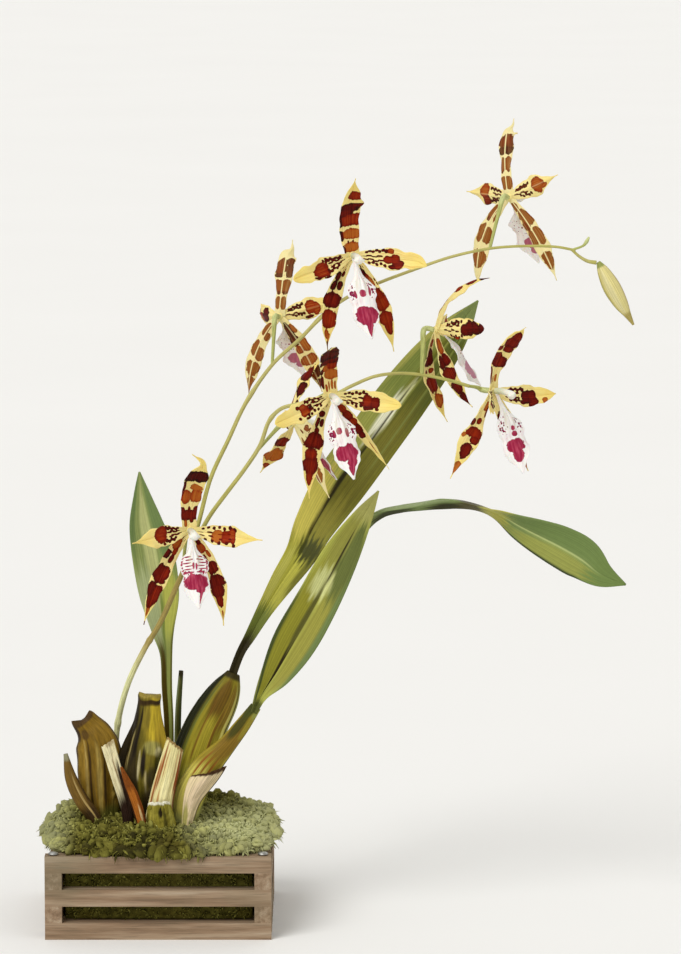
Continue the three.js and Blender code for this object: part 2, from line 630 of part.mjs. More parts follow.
function bloomLip([tilt, lift, twist, lengthShare]) {
  const [firstForward, firstUp] = LIP_STATIONS[0];
  const base = new THREE.Vector3(0, firstUp, firstForward);
  const turn = new THREE.Quaternion().setFromEuler(new THREE.Euler(-lift * DEGREE, 0, tilt * DEGREE, 'ZXY'));
  const stations = LIP_STATIONS.map(([forward, up, halfWidth]) => {
    const place = new THREE.Vector3(0, up, forward).sub(base).multiplyScalar(lengthShare);
    return [...place.applyQuaternion(turn).add(base), halfWidth];
  });
  const frames = [];
  for (let i = 0; i <= LIP_STEPS; i++) {
    const s = i / LIP_STEPS;
    const tangent = stationTangent(stations, s);
    const side = new THREE.Vector3(-1, 0, 0).applyQuaternion(turn);
    side.applyAxisAngle(tangent, twist * s * DEGREE);
    frames.push({
      middle: stationPoint(stations, s),
      side,
      normal: new THREE.Vector3().crossVectors(side, tangent),
      halfWidth: Math.max(blendStations(stations, s)[3], 0.4),
      fold: LIP_FOLD * DEGREE,
    });
  }
  const columnStations = COLUMN_STATIONS.map(([forward, up, radius]) => [0, up, forward, radius]);
  const column = stem(columnStations, 4, 6);
  return geometryOf(joined([solidOf(blade(frames, LIP_THICKNESS, 4)), solidOf(column)]));
}

function bloomTurn(bloom) {
  const yaw = new THREE.Quaternion().setFromAxisAngle(new THREE.Vector3(0, 0, 1), bloom.yaw * DEGREE);
  const stand = new THREE.Quaternion().setFromAxisAngle(new THREE.Vector3(1, 0, 0), Math.PI / 2);
  return yaw.multiply(stand);
}

// A bloom's stalk leaves the branch and swells into the ovary behind the seat.
function bloomStalk(bloom) {
  const facing = new THREE.Vector3(0, 0, 1).applyQuaternion(bloomTurn(bloom));
  const at = new THREE.Vector3(...bloom.at);
  const end = at.clone().addScaledVector(facing, -SEAT_BACK - GAP);
  const ovary = at.clone().addScaledVector(facing, -OVARY_REACH);
  const start = new THREE.Vector3(...bloom.stalk);
  const middle = start.clone().lerp(ovary, 0.6);
  middle.z += 0.5;
  return stem([[...start, PEDICEL_RADIUS], [...middle, PEDICEL_RADIUS + 0.2], [...ovary, OVARY_RADIUS],
    [...end, OVARY_RADIUS]], 6, 6);
}

function buildBlooms() {
  const tepalMaterial = material(COLOURS.tepal, 0.5);
  const lipMaterial = material(COLOURS.lip, 0.5);
  for (const [name, bloom] of Object.entries(BLOOMS)) {
    const holder = new THREE.Group();
    holder.position.set(...bloom.at);
    holder.quaternion.copy(bloomTurn(bloom));
    group.add(holder);
    addMesh(holder, `${name}_tepals`, bloomTepals(bloom), tepalMaterial);
    addMesh(holder, `${name}_lip`, bloomLip(bloom.lip), lipMaterial);
  }
}

function buildFlowerStem() {
  const solids = [stem(PEDUNCLE, 16, 8), stem(UPPER_BRANCH, 22, 6), stem(LOWER_BRANCH, 20, 6),
    stem(BUD_STALK, 4, 6), stem(TIP_BUD, 4, 6)].map(solidOf);
  for (const bloom of Object.values(BLOOMS)) solids.push(solidOf(bloomStalk(bloom)));
  addMesh(group, 'flower_stem', geometryOf(joined(solids)), material(COLOURS.stem, 0.5));
  addMesh(group, 'bud', bulb(BUD), material(BUD.colour, 0.5));
}

function mossSurface(y) {
  return MOSS_FRONT_HEIGHT + MOSS_BACK_RISE * THREE.MathUtils.smoothstep(y, -25, 35);
}

function mossBump(x, y, climb) {
  const coarse = Math.sin(0.31 * x + 15.3 * climb) * Math.cos(0.27 * y);
  const fine = Math.sin(0.6 * x - 0.5 * y + 3 * climb);
  return MOSS_BUMP * (coarse + 0.6 * fine);
}

function buildMoss(planted) {
  const inner = BASKET_SIDE / 2 - STICK - MOSS_CLEARANCE;
  const rim = RIM_HEIGHT + GAP;
  // Each ring: half size, corner roundness from 0, square, to 1, round, and how far it has
  // climbed from the rim to the top of the mound.
  const levels = [
    { half: inner, round: 0.05, z: STICK + MOSS_CLEARANCE },
    { half: inner, round: 0.05, z: RIM_HEIGHT * 0.5 },
    { half: inner, round: 0.05, z: rim },
    { half: BASKET_SIDE / 2 - 1, round: 0.45, z: rim },
    { half: BASKET_SIDE / 2 + MOSS_OVERHANG, round: 0.5, climb: 0.12 },
    { half: BASKET_SIDE / 2 - 2, round: 0.52, climb: 0.42 },
    { half: BASKET_SIDE / 2 - 13, round: 0.6, climb: 0.78 },
    { half: BASKET_SIDE / 2 - 26, round: 0.7, climb: 0.95 },
    { half: BASKET_SIDE / 2 - 42, round: 1, climb: 1 },
  ];
  const rings = levels.map(({ half, round, z, climb }) => {
    const ring = [];
    for (let k = 0; k < MOSS_SIDES; k++) {
      const angle = (k / MOSS_SIDES) * 2 * Math.PI + Math.PI / 4;
      const c = Math.cos(angle);
      const s = Math.sin(angle);
      const square = half / Math.max(Math.abs(c), Math.abs(s));
      const reach = THREE.MathUtils.lerp(Math.min(square, half * (1.414 - 0.2 * round)), half, round);
      const x = reach * c;
      const y = reach * s;
      if (climb === undefined) {
        ring.push(new THREE.Vector3(x, y, z));
        continue;
      }
      const bump = mossBump(x, y, climb);
      const spread = 1 + 0.012 * bump;
      const swell = climb > 0.2 ? bump * 0.6 : 0;
      const height = THREE.MathUtils.lerp(rim + 0.6, mossSurface(y), climb) + swell;
      ring.push(new THREE.Vector3(x * spread, y * spread, height));
    }
    return ring;
  });
  let moss = solidOf(loft(rings));
  for (const hole of planted) moss = moss.subtract(hole);
  addMesh(group, 'moss_bed', geometryOf(moss), material(COLOURS.moss, 0.95));
}

function leafBlade(shape, grow = 0) {
  return blade(leafFrames(shape.stations, shape.steps, grow), LEAF_THICKNESS + 2 * grow);
}

function buildPlant() {
  const planted = [];
  const leafMaterial = material(COLOURS.leaf, 0.45);
  for (const [name, shape] of Object.entries({ ...BULBS, young_shoot: YOUNG_SHOOT })) {
    let solid = solidOf(bulb(shape));
    for (const leaf of Object.values(LEAVES).filter(({ growsFrom }) => growsFrom === name)) {
      solid = solid.subtract(solidOf(leafBlade(leaf, GAP)));
    }
    addMesh(group, name, geometryOf(solid), material(shape.colour, 0.4));
    planted.push(solidOf(bulb(shape, GAP)));
  }
  for (const [name, shape] of Object.entries(LEAVES)) {
    addMesh(group, name, leafBlade(shape), leafMaterial);
    if (!shape.growsFrom) planted.push(solidOf(leafBlade(shape, GAP)));
  }
  for (const [name, shape] of Object.entries(SHEATHS)) {
    const frames = leafFrames(shape.stations, SHEATH_STEPS);
    addMesh(group, name, blade(frames, shape.thickness, 4), material(COLOURS.sheath, 0.8));
    const grownFrames = leafFrames(shape.stations, SHEATH_STEPS, GAP);
    planted.push(solidOf(blade(grownFrames, shape.thickness + 2 * GAP, 4)));
  }
  planted.push(solidOf(stem(PEDUNCLE, 16, 8, GAP)));
  return planted;
}

buildBasket();
const planted = buildPlant();
buildFlowerStem();
buildBlooms();
buildMoss(planted);

export default group;
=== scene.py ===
"""A spotted orchid in flower, planted in a low square slatted basket of moss.

Tables are in millimetres with +Z up, and the front of the plant faces -Y. Each piece stands in the
place of the CAD node whose name it carries, built on the same tables with finer steps.
"""

import math

import bpy
import numpy as np
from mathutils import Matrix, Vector


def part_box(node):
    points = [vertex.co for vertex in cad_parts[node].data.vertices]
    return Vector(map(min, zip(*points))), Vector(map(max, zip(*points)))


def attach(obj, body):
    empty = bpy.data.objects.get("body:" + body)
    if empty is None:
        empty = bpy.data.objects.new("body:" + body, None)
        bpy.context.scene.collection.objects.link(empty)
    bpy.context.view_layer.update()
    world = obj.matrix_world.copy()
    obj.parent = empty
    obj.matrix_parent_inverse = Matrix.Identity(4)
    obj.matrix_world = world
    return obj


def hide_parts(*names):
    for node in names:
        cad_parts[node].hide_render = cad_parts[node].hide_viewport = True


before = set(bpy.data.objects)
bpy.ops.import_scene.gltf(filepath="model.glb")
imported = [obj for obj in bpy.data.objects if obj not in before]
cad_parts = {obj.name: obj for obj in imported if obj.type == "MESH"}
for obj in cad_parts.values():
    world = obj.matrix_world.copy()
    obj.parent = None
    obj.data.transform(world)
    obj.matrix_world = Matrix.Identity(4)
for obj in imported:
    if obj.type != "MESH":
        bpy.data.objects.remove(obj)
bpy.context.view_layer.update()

MM = 0.001
FRONT = np.array([0.0, -1.0, 0.0])

# The picture's camera.
CAMERA_TARGET = (0.1022, 0, 0.2532)
CAMERA_DISTANCE = 3
CAMERA_ELEVATION = 8
CAMERA_LENS = 200
CAMERA_SENSOR = 36

# The basket and its moss.
BASKET_SIDE = 127
STICK = 9.5
RIM_HEIGHT = 47.5
STICK_WEAR = 0.9
WIRE_RADIUS = 1.3
WIRE_HEAD_RADIUS = 2.9
WIRE_PLACE = BASKET_SIDE / 2 - STICK / 2
MOSS_FRONT_HEIGHT = 57
MOSS_BACK_RISE = 6
MOSS_BUMP = 1.6

# Blooms.
TEPAL_THICKNESS = 0.8
TEPAL_FOLD = 10
TEPAL_WAVE = 0.9
TEPAL_STEPS = (88, 26)
TURNED_AWAY = 100
TURNED_AWAY_STEPS = (60, 22)
SEAT_RADIUS = 2.2
SEAT_FRONT = 1.9
SEAT_BACK = 1.2
LIP_FOLD = -16
LIP_THICKNESS = 0.8

# Blotches: their outline's power, how much wider and longer than its row a large one is drawn, the half
# width above which one is large, and how far outside itself it is felt.
BLOTCH_POWER = 2.4
BLOTCH_GROWTH = (1.34, 1.07)
BLOTCH_SMALL = 0.25
BLOTCH_REACH = 0.9

# Stem radii.
PEDUNCLE_RADIUS = 1.7
BRANCH_RADIUS = 1.25
PEDICEL_RADIUS = 0.8
OVARY_RADIUS = 1.5
OVARY_REACH = 7
STOUT_STALKS = {"bloom_6_side": 1.35}
GAP = 0.3

LEAF_THICKNESS = 1

# Bulbs, the shoot and the bud. Stations are x, y, z and radius. Furrow is the furrows' depth as a share
# of the radius, and wobble that of uneven lumps. Horns, the torn corners of a top, are across, half width
# and height, and knobs are place, across, half length, half width and height as a share of the radius.
# The shoot is a flattened fan, from which the two right-hand leaves grow.
BULBS = {
    "pseudobulb_oldest": {
        "stations": [
            [-33, -13, 50, 2.5], [-38.5, -13, 60, 3.8], [-45.5, -13, 70, 4], [-51, -12, 82, 3.4],
            [-54, -11, 96, 1.2]],
        "flat": 0.8, "ribs": 3, "ribDepth": 0.1, "ribPhase": 0, "furrow": 0.04, "furrows": 7,
    },
    "pseudobulb_brown": {
        "stations": [
            [-32, 1, 49, 6], [-34, 1, 64, 10.4], [-34.6, 1, 79, 12], [-35.4, 1, 94, 12],
            [-38, 1, 104.6, 10.2], [-44.4, 1, 113.4, 5.4]],
        "flat": 0.78, "ribs": 5, "ribDepth": 0.09, "ribPhase": 0.8, "furrow": 0.07, "furrows": 15,
        "wobble": 0.035,
        "horns": [[-0.5, 0.17, 3.4], [0.5, 0.14, 2.4]],
        "knobs": [
            [0.46, 0.2, 0.035, 0.045, 0.09], [0.37, 0.22, 0.03, 0.045, 0.1], [0.29, 0.24, 0.03, 0.045, 0.1],
            [0.98, 0.0, 0.045, 2, 0.14], [0.88, 0.42, 0.05, 0.3, -0.12]],
    },
    "pseudobulb_middle": {
        "stations": [
            [-6.5, -6, 49, 6.5], [-8.5, -6, 65, 10.8], [-9.5, -6, 82, 13.6], [-8.6, -6, 98, 12.4],
            [-6.8, -6, 114, 8.2], [-6.2, -6, 129, 5.8]],
        "flat": 0.74, "ribs": 6, "ribDepth": 0.1, "ribPhase": 0.3, "furrow": 0.07, "furrows": 13,
        "wobble": 0.05,
        "horns": [[-0.45, 0.16, 1.8], [0.05, 0.1, 0.9], [0.45, 0.12, 1.1]],
        "knobs": [
            [0.5, 0.02, 0.05, 0.06, 0.07], [0.38, 0.0, 0.04, 0.06, 0.08], [0.28, 0.04, 0.04, 0.05, 0.06],
            [0.62, 0.17, 0.04, 0.1, 0.06], [0.98, 0, 0.025, 2, 0.12]],
    },
    "pseudobulb_leaning": {
        "stations": [
            [9.5, 9, 50, 6], [12.5, 9, 65, 10.8], [16.2, 9, 80, 12.8], [20.6, 9, 95, 12.8],
            [26, 9, 109, 11.8], [32.2, 9, 120.6, 10.8], [37.3, 9, 130.4, 8.4], [41.2, 9, 139, 3.8]],
        "flat": 0.62, "ribs": 4, "ribDepth": 0.07, "ribPhase": 1.2, "furrow": 0.05, "furrows": 15,
        "wobble": 0.02,
        "knobs": [[0.6, 0.34, 0.4, 0.025, -0.05]],
    },
    "young_shoot": {
        "stations": [
            [12.5, -13, 49, 5], [14, -13, 60, 7], [17.5, -13, 74, 8.4], [26, -13, 88.6, 7.6],
            [37.6, -13, 101.4, 5.2], [46.4, -13, 112.6, 4.4], [54.2, -13, 123.6, 3.2]],
        "flat": 0.6, "ribs": 2, "ribDepth": 0.04, "ribPhase": 0, "furrow": 0.05, "furrows": 13,
    },
    "bud": {
        "stations": [
            [247.3, 0, 375.4, 1.2], [250.6, 0, 369.6, 3.6], [255.2, 0, 361, 4.9], [260.2, 0, 352, 4],
            [264, 0, 345.6, 2.1], [267.4, 0, 339.8, 0.6]],
        "flat": 0.85, "ribs": 3, "ribDepth": 0.08, "ribPhase": 0.6, "furrow": 0.03, "furrows": 6,
        "steps": (60, 48),
    },
}

# Each leaf's stations are x, y, z, half width, turn and fold.
LEAVES = {
    "leaf_left": [
        [4, 21, 50, 3.3, 0, 45], [4, 21, 80, 3.4, 0, 45], [3.8, 21, 108, 3.6, 0, 45],
        [2.8, 21, 128, 3.8, 0, 42], [2.4, 22, 147.4, 4.2, 0, 36], [0.5, 23, 162, 7.4, 0, 28],
        [-1.3, 24, 182, 12, 0, 20], [-5, 25, 206, 12.4, 0, 14], [-8.9, 26, 223, 9.8, 0, 12],
        [-11.2, 27, 239, 5, 0, 10], [-12.7, 27, 252.4, 0.5, 0, 8]],
    "leaf_stub": [
        [8.6, 27, 52, 2.2, 0, 20], [8.4, 27, 84, 2.1, 0, 20], [9, 26, 113, 1.8, 0, 20],
        [10.8, 25, 137.6, 1.3, 0, 20]],
    "leaf_long": [
        [39.4, 9, 135.5, 2.9, 0, 35], [45, 10, 150.3, 2.9, 0, 35], [50.6, 12, 160, 3.6, 0, 30],
        [59.4, 16, 175.2, 5.2, 0, 24], [69.2, 22, 190.2, 7.6, 0, 18], [79.7, 30, 205, 9.6, 0, 14],
        [87.6, 38, 220.8, 12.4, 0, 16], [101.4, 46, 242.4, 15.8, 0, 18], [120, 51, 267.4, 15.8, 0, 18],
        [138, 54, 292, 15.4, 0, 16], [156, 55, 315.4, 13, 0, 14], [169.5, 54, 333, 8.4, 8, 12],
        [181, 50, 348.2, 0.5, 16, 8]],
    "leaf_front": [
        [53, -15, 120.6, 2.3, 0, 45], [57.6, -15, 130.6, 4.2, 0, 40], [65.6, -14, 143, 9.6, 0, 26],
        [76, -12, 161, 13.2, 0, 20], [89, -9, 183.6, 12.8, 0, 18], [102.2, -5, 209, 10.8, 0, 16],
        [114.8, -1, 230.6, 5.8, 0, 14], [123.8, 2, 245, 0.5, 0, 12]],
    "leaf_arching": [
        [53, -10.8, 121, 1.9, 0, 30], [59.4, -7, 138, 4, 0, 26], [70, -1, 160, 6.4, 0, 20],
        [86, 4, 186, 7.6, 0, 16], [101, 8, 208.6, 7.6, 10, 16], [113, 10, 224.2, 6.6, 44, 20],
        [124, 10, 232, 6.2, 62, 24], [136, 9.5, 235, 6.2, 70, 26], [147.5, 8, 237, 6.8, 68, 26],
        [158.5, 6, 239, 7.4, 58, 22], [168, 4, 239, 7.4, 64, 20], [177, 2, 237.4, 7.2, 72, 16],
        [185, 0, 235, 7.2, 72, 12], [193.5, -2, 231.8, 7.8, 56, 10], [204, -4, 226, 9.8, 36, 10],
        [215.5, -6, 220.4, 11.2, 18, 10], [227, -8, 214.8, 12.4, 6, 10], [238.5, -9.5, 208.1, 12.2, 0, 10],
        [250, -10.5, 199, 7.6, 0, 10], [263.6, -11, 193.2, 0.5, 0, 8]],
}

# Dry sheaths that wrap the foot of a bulb, so their folds turn away from the front.
# Each station is x, y, z, half width, turn, fold and an optional skew of the cut.
SHEATHS = {
    "sheath_cream_narrow": {
        "thickness": 0.8, "torn": 0.5, "cut": -1.2,
        "stations": [
            [-17.5, -19, 50, 3, 0, -20], [-19.5, -18.5, 66, 3.2, 0, -20], [-24.5, -17, 84, 3.7, 0, -20],
            [-30, -15.5, 103, 3.9, 0, -10]]},
    "sheath_orange": {
        "thickness": 0.8, "torn": 0.8, "cut": 0,
        "stations": [
            [-9, -23.5, 50, 2.6, 0, -25], [-11.6, -23.5, 62, 3.2, 0, -25], [-15.8, -22.5, 75, 3.2, 0, -25],
            [-22, -20.5, 90, 0.6, 0, -10]]},
    "sheath_cream_broad": {
        "thickness": 0.8, "torn": 0.5, "cut": 2.6,
        "stations": [
            [-1.5, -23.5, 58, 8, 0, -22], [1, -23.5, 73, 7.4, 0, -24], [4.6, -22.8, 88, 6.8, 0, -24],
            [8.6, -21.5, 104, 5.6, 0, -20]]},
    "sheath_green_cut": {
        "thickness": 2.2, "torn": 0.7, "cut": 0,
        "stations": [
            [1, -29.5, 48, 8.6, 0, -25], [0.6, -29.5, 56, 9.4, 0, -28], [0, -29, 64, 8.6, 0, -28],
            [-0.5, -28.4, 71.5, 6.4, 0, -24]]},
    "sheath_grey": {
        "thickness": 0.8, "torn": 0.3, "cut": 0,
        "stations": [
            [14.4, -24, 49, 3, 0, -30, 0], [15.8, -24, 61, 4, 0, -34, 0],
            [19.2, -24, 73.5, 6.8, 0, -36, 14], [28, -23.4, 87.6, 12, 0, -32, 48]]},
}

# The flower stem and its branches: x, y, z and radius.
PEDUNCLE = [
    [-25, 17, 49, PEDUNCLE_RADIUS], [-26.8, 17, 78, PEDUNCLE_RADIUS], [-25.7, 16, 106, PEDUNCLE_RADIUS],
    [-19.6, 13, 131, 1.65], [-10, 10, 152, 1.6], [-0.2, 7, 169, 1.55], [10, 5, 192, 1.5],
    [23.4, 4, 222, 1.4]]

UPPER_BRANCH = [
    [12, 5, 196.5, BRANCH_RADIUS], [21, 6, 224, BRANCH_RADIUS], [28.3, 9, 250.7, 1.22],
    [38.5, 13, 272.7, 1.2], [48.7, 16, 293.9, 1.15], [63.4, 18, 315, 1.1], [79.2, 16, 330, 1.1],
    [93.4, 12, 345, 1.05], [107.5, 8, 355.4, 1], [123.4, 4, 363, 0.95], [141.5, 1, 370.2, 0.9],
    [164.1, 0, 378.2, 0.85], [186.2, 0, 383, 0.8], [206, 0, 384.4, 0.75], [223, 0, 384, 0.75],
    [234.4, 0, 382, 0.75]]

LOWER_BRANCH = [
    [20.6, 4, 217, BRANCH_RADIUS], [28.2, 4, 230.6, BRANCH_RADIUS], [37.6, 3, 243.6, 1.22],
    [47.4, 3, 256.6, 1.2], [56.4, 3, 270.4, 1.2], [61.6, 2, 284.4, 1.15], [68.4, 0, 292, 1.15],
    [77.4, -3, 295, 1.1], [88, -5, 297.4, 1.1], [99, -6, 301, 1.05], [108.7, -6, 306, 1],
    [121.2, -6, 311.2, 0.95], [134, -6, 313, 0.9], [148, -6, 312.2, 0.9], [163, -6, 309.2, 0.9],
    [175, -5.5, 305.6, 1]]

TIP_BUD = [[233, 0, 382.4, 0.7], [238.4, 0, 384.4, 0.7], [240.7, 0, 387, 1.1], [242, 0, 389.6, 0.5]]

BUD_STALK = [[232, 0, 382.7, 0.75], [236.3, 0, 378.8, 0.85], [241, 0, 376, 1], [246.2, 0, 375, 1.2]]

# Kinds of tepal: greatest half width, the neck's share of it, the place where it is widest, and twist.
TEPAL_KINDS = {
    "dorsal": {"halfWidth": 5.8, "neck": 0.72, "widest": 0.68, "twist": 6},
    "petalRight": {"halfWidth": 6.1, "neck": 0.3, "widest": 0.54, "twist": -10},
    "petalLeft": {"halfWidth": 6.1, "neck": 0.3, "widest": 0.54, "twist": 10},
    "sepalRight": {"halfWidth": 5.8, "neck": 0.34, "widest": 0.62, "twist": 14},
    "sepalLeft": {"halfWidth": 5.8, "neck": 0.34, "widest": 0.62, "twist": -14},
}

# Each bloom: its place, the yaw that turns it away from the front, the place where its stalk leaves the
# stem, each tepal's aim, sweep, rise, curl and length, for some also a twist and a turn at the base, and
# the lip's tilt, lift, twist and share of the full size.
BLOOM_TABLE = {
    "bloom_1_lowest": [
        [17, -14, 224.8], 14, [12.5, 5, 198], [-7, 33, 4, 54, 49], [100, -6, 20, 4, 42],
        [-96, 0, 20, 8, 40], [144, 34, 8, -10, 59], [-137, -31, 8, -10, 60], [1.5, 0, 0, 0.92]],
    "bloom_2_upper": [
        [109, -12, 380.4], 15, [100, 10, 350.4], [-11, 12, 4, 44, 51.5], [95.5, 0, 20, 2, 42.5],
        [-110, 9, 20, 8, 44.5], [145, 24, 8, -10, 60], [-142, -44, 8, -10, 57], [7, 0, 0, 1]],
    "bloom_3_turned_away": [
        [67.4, 27, 341.7], 160, [63.4, 18, 315], [-4, 10, 2, 46, 45], [92, 4, 26, 56, 38],
        [-74, 0, 24, 12, 34], [134, 46, 6, -4, 53], [-138, -24, 6, -4, 50], [-9, 8.5, 0, 0.87]],
    "bloom_4_centre": [
        [96.8, -31, 303.5], 15, [86, -4.6, 297], [-11, 0, 4, 80, 47], [98, 0, 20, 3, 40],
        [-114, 10, 20, 8, 42.5], [138, 8, 8, -10, 54, 80], [-149, -36, 8, -10, 60], [10, 0, 0, 1]],
    "bloom_5_behind": [
        [75.8, 16, 282], 112, [53.6, 3, 266], [0, 0, -8, 66, 40], [92, 4, 8, 0, 36], [-112, 0, 20, 0, 26],
        [150, -8, -22, 6, 39, 20, 40], [-153, 0, 16, 0, 48], [0, 13, 0, 0.84]],
    "bloom_6_side": [
        [156.2, 10, 336.2], 104, [148, -6, 312.2], [0, 0, 8, 80, 46], [88, 0, 30, 6, 36],
        [-84, 0, 28, 8, 42], [166, 0, -20, 56, 60, 20, 45], [-161, 0, 0, 42, 50, 20, 50],
        [0, 14, 40, 0.82]],
    "bloom_7_end": [
        [187.9, -5, 303], 52, [174.4, -5.5, 305.8], [0, 14, 0, 60, 46, -30], [108, -24, 20, 6, 42],
        [-104, 0, 30, 8, 40], [152, 2, 8, 0, 54], [-156, 0, -14, 0, 55, 46], [0, 1, 60, 1]],
    "bloom_8_top": [
        [197.2, 15, 410.8], 150, [186.2, 0, 383], [13, 0, 2, 46, 48], [89, 0, 20, 4, 37.5],
        [-68, 4, 0, 0, 34], [129, 54, 6, -4, 56], [-138, -20, 6, -4, 55], [-7, 10.5, 0, 0.96]],
}

BLOOM_KEYS = ["at", "yaw", "stalk", *TEPAL_KINDS, "lip"]
BLOOMS = {name: dict(zip(BLOOM_KEYS, row)) for name, row in BLOOM_TABLE.items()}

# The lip: distance forward, distance up and half width at stations along its middle line.
LIP_STATIONS = [
    [3, -0.8, 1.3], [5.4, -5.6, 1.5], [8.5, -11, 3], [11.5, -16, 8.2], [13.5, -21, 8.3], [15, -26, 6.9],
    [16.5, -31, 8.1], [18, -36, 6.6], [19.5, -41, 2.8], [21, -45.5, 0.5]]

# The column: distance forward, distance up and radius.
COLUMN_STATIONS = [[2.2, 0, 1.9], [6.5, 0.2, 1.7], [10.5, -0.4, 1.9], [13.6, -1.6, 2.4], [15.4, -2.4, 1.5]]


def unit(rows):
    return rows / np.maximum(np.linalg.norm(rows, axis=-1, keepdims=True), 1e-12)


def smooth(value, low, high):
    share = np.clip((value - low) / (high - low), 0, 1)
    return share * share * (3 - 2 * share)


def turned(rows, axes, degrees):
    """Vectors turned about the matching axes."""
    angle = np.radians(np.broadcast_to(degrees, rows.shape[:-1]).astype(float))[..., None]
    axes = unit(axes)
    along = axes * np.sum(axes * rows, axis=-1, keepdims=True)
    return rows * np.cos(angle) + np.cross(axes, rows) * np.sin(angle) + along * (1 - np.cos(angle))


def blend(stations, s):
    """The numbers of a station table at each place s from 0 to 1, on a smooth curve."""
    rows = np.array(stations, float)
    last = len(rows) - 1
    place = np.clip(s, 0, 1) * last
    k = np.minimum(np.floor(place).astype(int), last - 1)
    u = (place - k)[:, None]
    padded = np.vstack([2 * rows[0] - rows[1], rows, 2 * rows[-1] - rows[-2]])
    a, b, c, d = (padded[k + i] for i in range(4))
    return 0.5 * (2 * b + (c - a) * u + (2 * a - 5 * b + 4 * c - d) * u * u
                  + (3 * b - a - 3 * c + d) * u ** 3)


def tangents(stations, s):
    step = 0.004
    ahead = blend(stations, np.minimum(s + step, 1))[:, :3]
    return unit(ahead - blend(stations, np.maximum(s - step, 0))[:, :3])


def lumps(points, size, seed, octaves=3):
    """A smooth random height from about -1 to 1 at each point, with bumps of about the given size."""
    draw = np.random.default_rng(seed)
    total = np.zeros(points.shape[:-1])
    for octave in range(octaves):
        waves = unit(draw.normal(size=(7, 3))) * 2 * math.pi / size * 2 ** octave
        phases = draw.uniform(0, 2 * math.pi, 7)
        total += 0.5 ** octave * np.sin(points @ waves.T + phases).mean(axis=-1) * 1.6
    return total


def patches(s, t, rows):
    """Soft spots. Each row is place, across, half length, half width and strength."""
    total = np.zeros(np.broadcast(s, t).shape)
    for place, across, long, wide, strength in rows:
        away = ((s - place) / long) ** 2 + ((t - across) / wide) ** 2
        total = np.maximum(total, strength * np.exp(-away))
    return total


def ink(red, green, blue):
    """A display colour from 0 to 255 as linear light."""
    share = np.array([red, green, blue]) / 255
    return tuple(float(c) for c in np.where(share < 0.04, share / 12.92, ((share + 0.055) / 1.055) ** 2.4))


def painted(s, t, base, strokes):
    """Colours of the points, kept as three values. A stroke is place, across, half length and half width
    in hundredths, and its colour."""
    colour = np.zeros((*np.broadcast(s, t).shape, 3)) + ink(*base)
    for place, across, long, wide, tint in strokes:
        share = smooth(np.hypot((100 * s - place) / long, (100 * t - across) / wide), 1.25, 0.7)
        colour = colour + (ink(*tint) - colour) * share[..., None]
    return {"red": colour[..., 0], "green": colour[..., 1], "blue": colour[..., 2]}


class Skin:
    """A closed surface: points in millimetres, faces, and smooth values at the points."""

    def __init__(self, points, faces, values, look=0):
        self.points = points
        self.faces = faces
        self.values = values
        self.look = look

    def moved(self, turn, place):
        self.points = self.points @ turn.T + np.array(place, float)
        return self


def grid_faces(rows, columns, start=0, wrap=False, flip=False):
    i, j = np.meshgrid(np.arange(rows - 1), np.arange(columns if wrap else columns - 1), indexing="ij")
    after = (j + 1) % columns
    quads = np.stack([i * columns + j, i * columns + after, (i + 1) * columns + after,
                      (i + 1) * columns + j], axis=-1).reshape(-1, 4) + start
    return quads[:, ::-1] if flip else quads


def sheet(grid, half_thickness, values, look=0):
    """A thin closed skin on both sides of a grid of points, rows along it and columns across it."""
    rows, columns = grid.shape[:2]
    normal = unit(np.cross(np.gradient(grid, axis=1), np.gradient(grid, axis=0)))
    offset = normal * half_thickness[..., None]
    points = np.concatenate([(grid + offset).reshape(-1, 3), (grid - offset).reshape(-1, 3)])
    count = rows * columns
    index = np.arange(count).reshape(rows, columns)

    def strip(edge):
        return np.stack([edge[:-1], edge[:-1] + count, edge[1:] + count, edge[1:]], axis=-1)

    quads = [grid_faces(rows, columns), grid_faces(rows, columns, count, flip=True),
             strip(index[::-1, 0]), strip(index[:, -1]), strip(index[0]), strip(index[-1, ::-1])]
    both = {key: np.concatenate([value.reshape(-1), value.reshape(-1)]) for key, value in values.items()}
    both["front"] = np.concatenate([np.ones(count), np.zeros(count)])
    return Skin(points, np.concatenate(quads).tolist(), both, look)


def tube(centres, right, away, reach, depth, values, look=0):
    """A closed skin over rings. reach and depth are the two half widths of each ring at each side."""
    rows, sides = reach.shape
    angle = np.arange(sides) / sides * 2 * math.pi
    rings = (centres[:, None] + right[:, None] * (reach * np.cos(angle))[..., None]
             + away[:, None] * (depth * np.sin(angle))[..., None])
    ends = [rings[0].mean(axis=0)[None], rings[-1].mean(axis=0)[None]]
    points = np.concatenate([rings.reshape(-1, 3), *ends])
    start, end = rows * sides, rows * sides + 1
    k = np.arange(sides)
    after = (k + 1) % sides
    last = (rows - 1) * sides
    faces = grid_faces(rows, sides, wrap=True).tolist()
    faces += np.stack([np.full(sides, start), after, k], axis=-1).tolist()
    faces += np.stack([np.full(sides, end), last + k, last + after], axis=-1).tolist()
    all_values = {}
    for key, value in values.items():
        value = np.broadcast_to(value, (rows, sides))
        all_values[key] = np.concatenate([value.reshape(-1), [value[0].mean(), value[-1].mean()]])
    return Skin(points, faces, all_values, look)


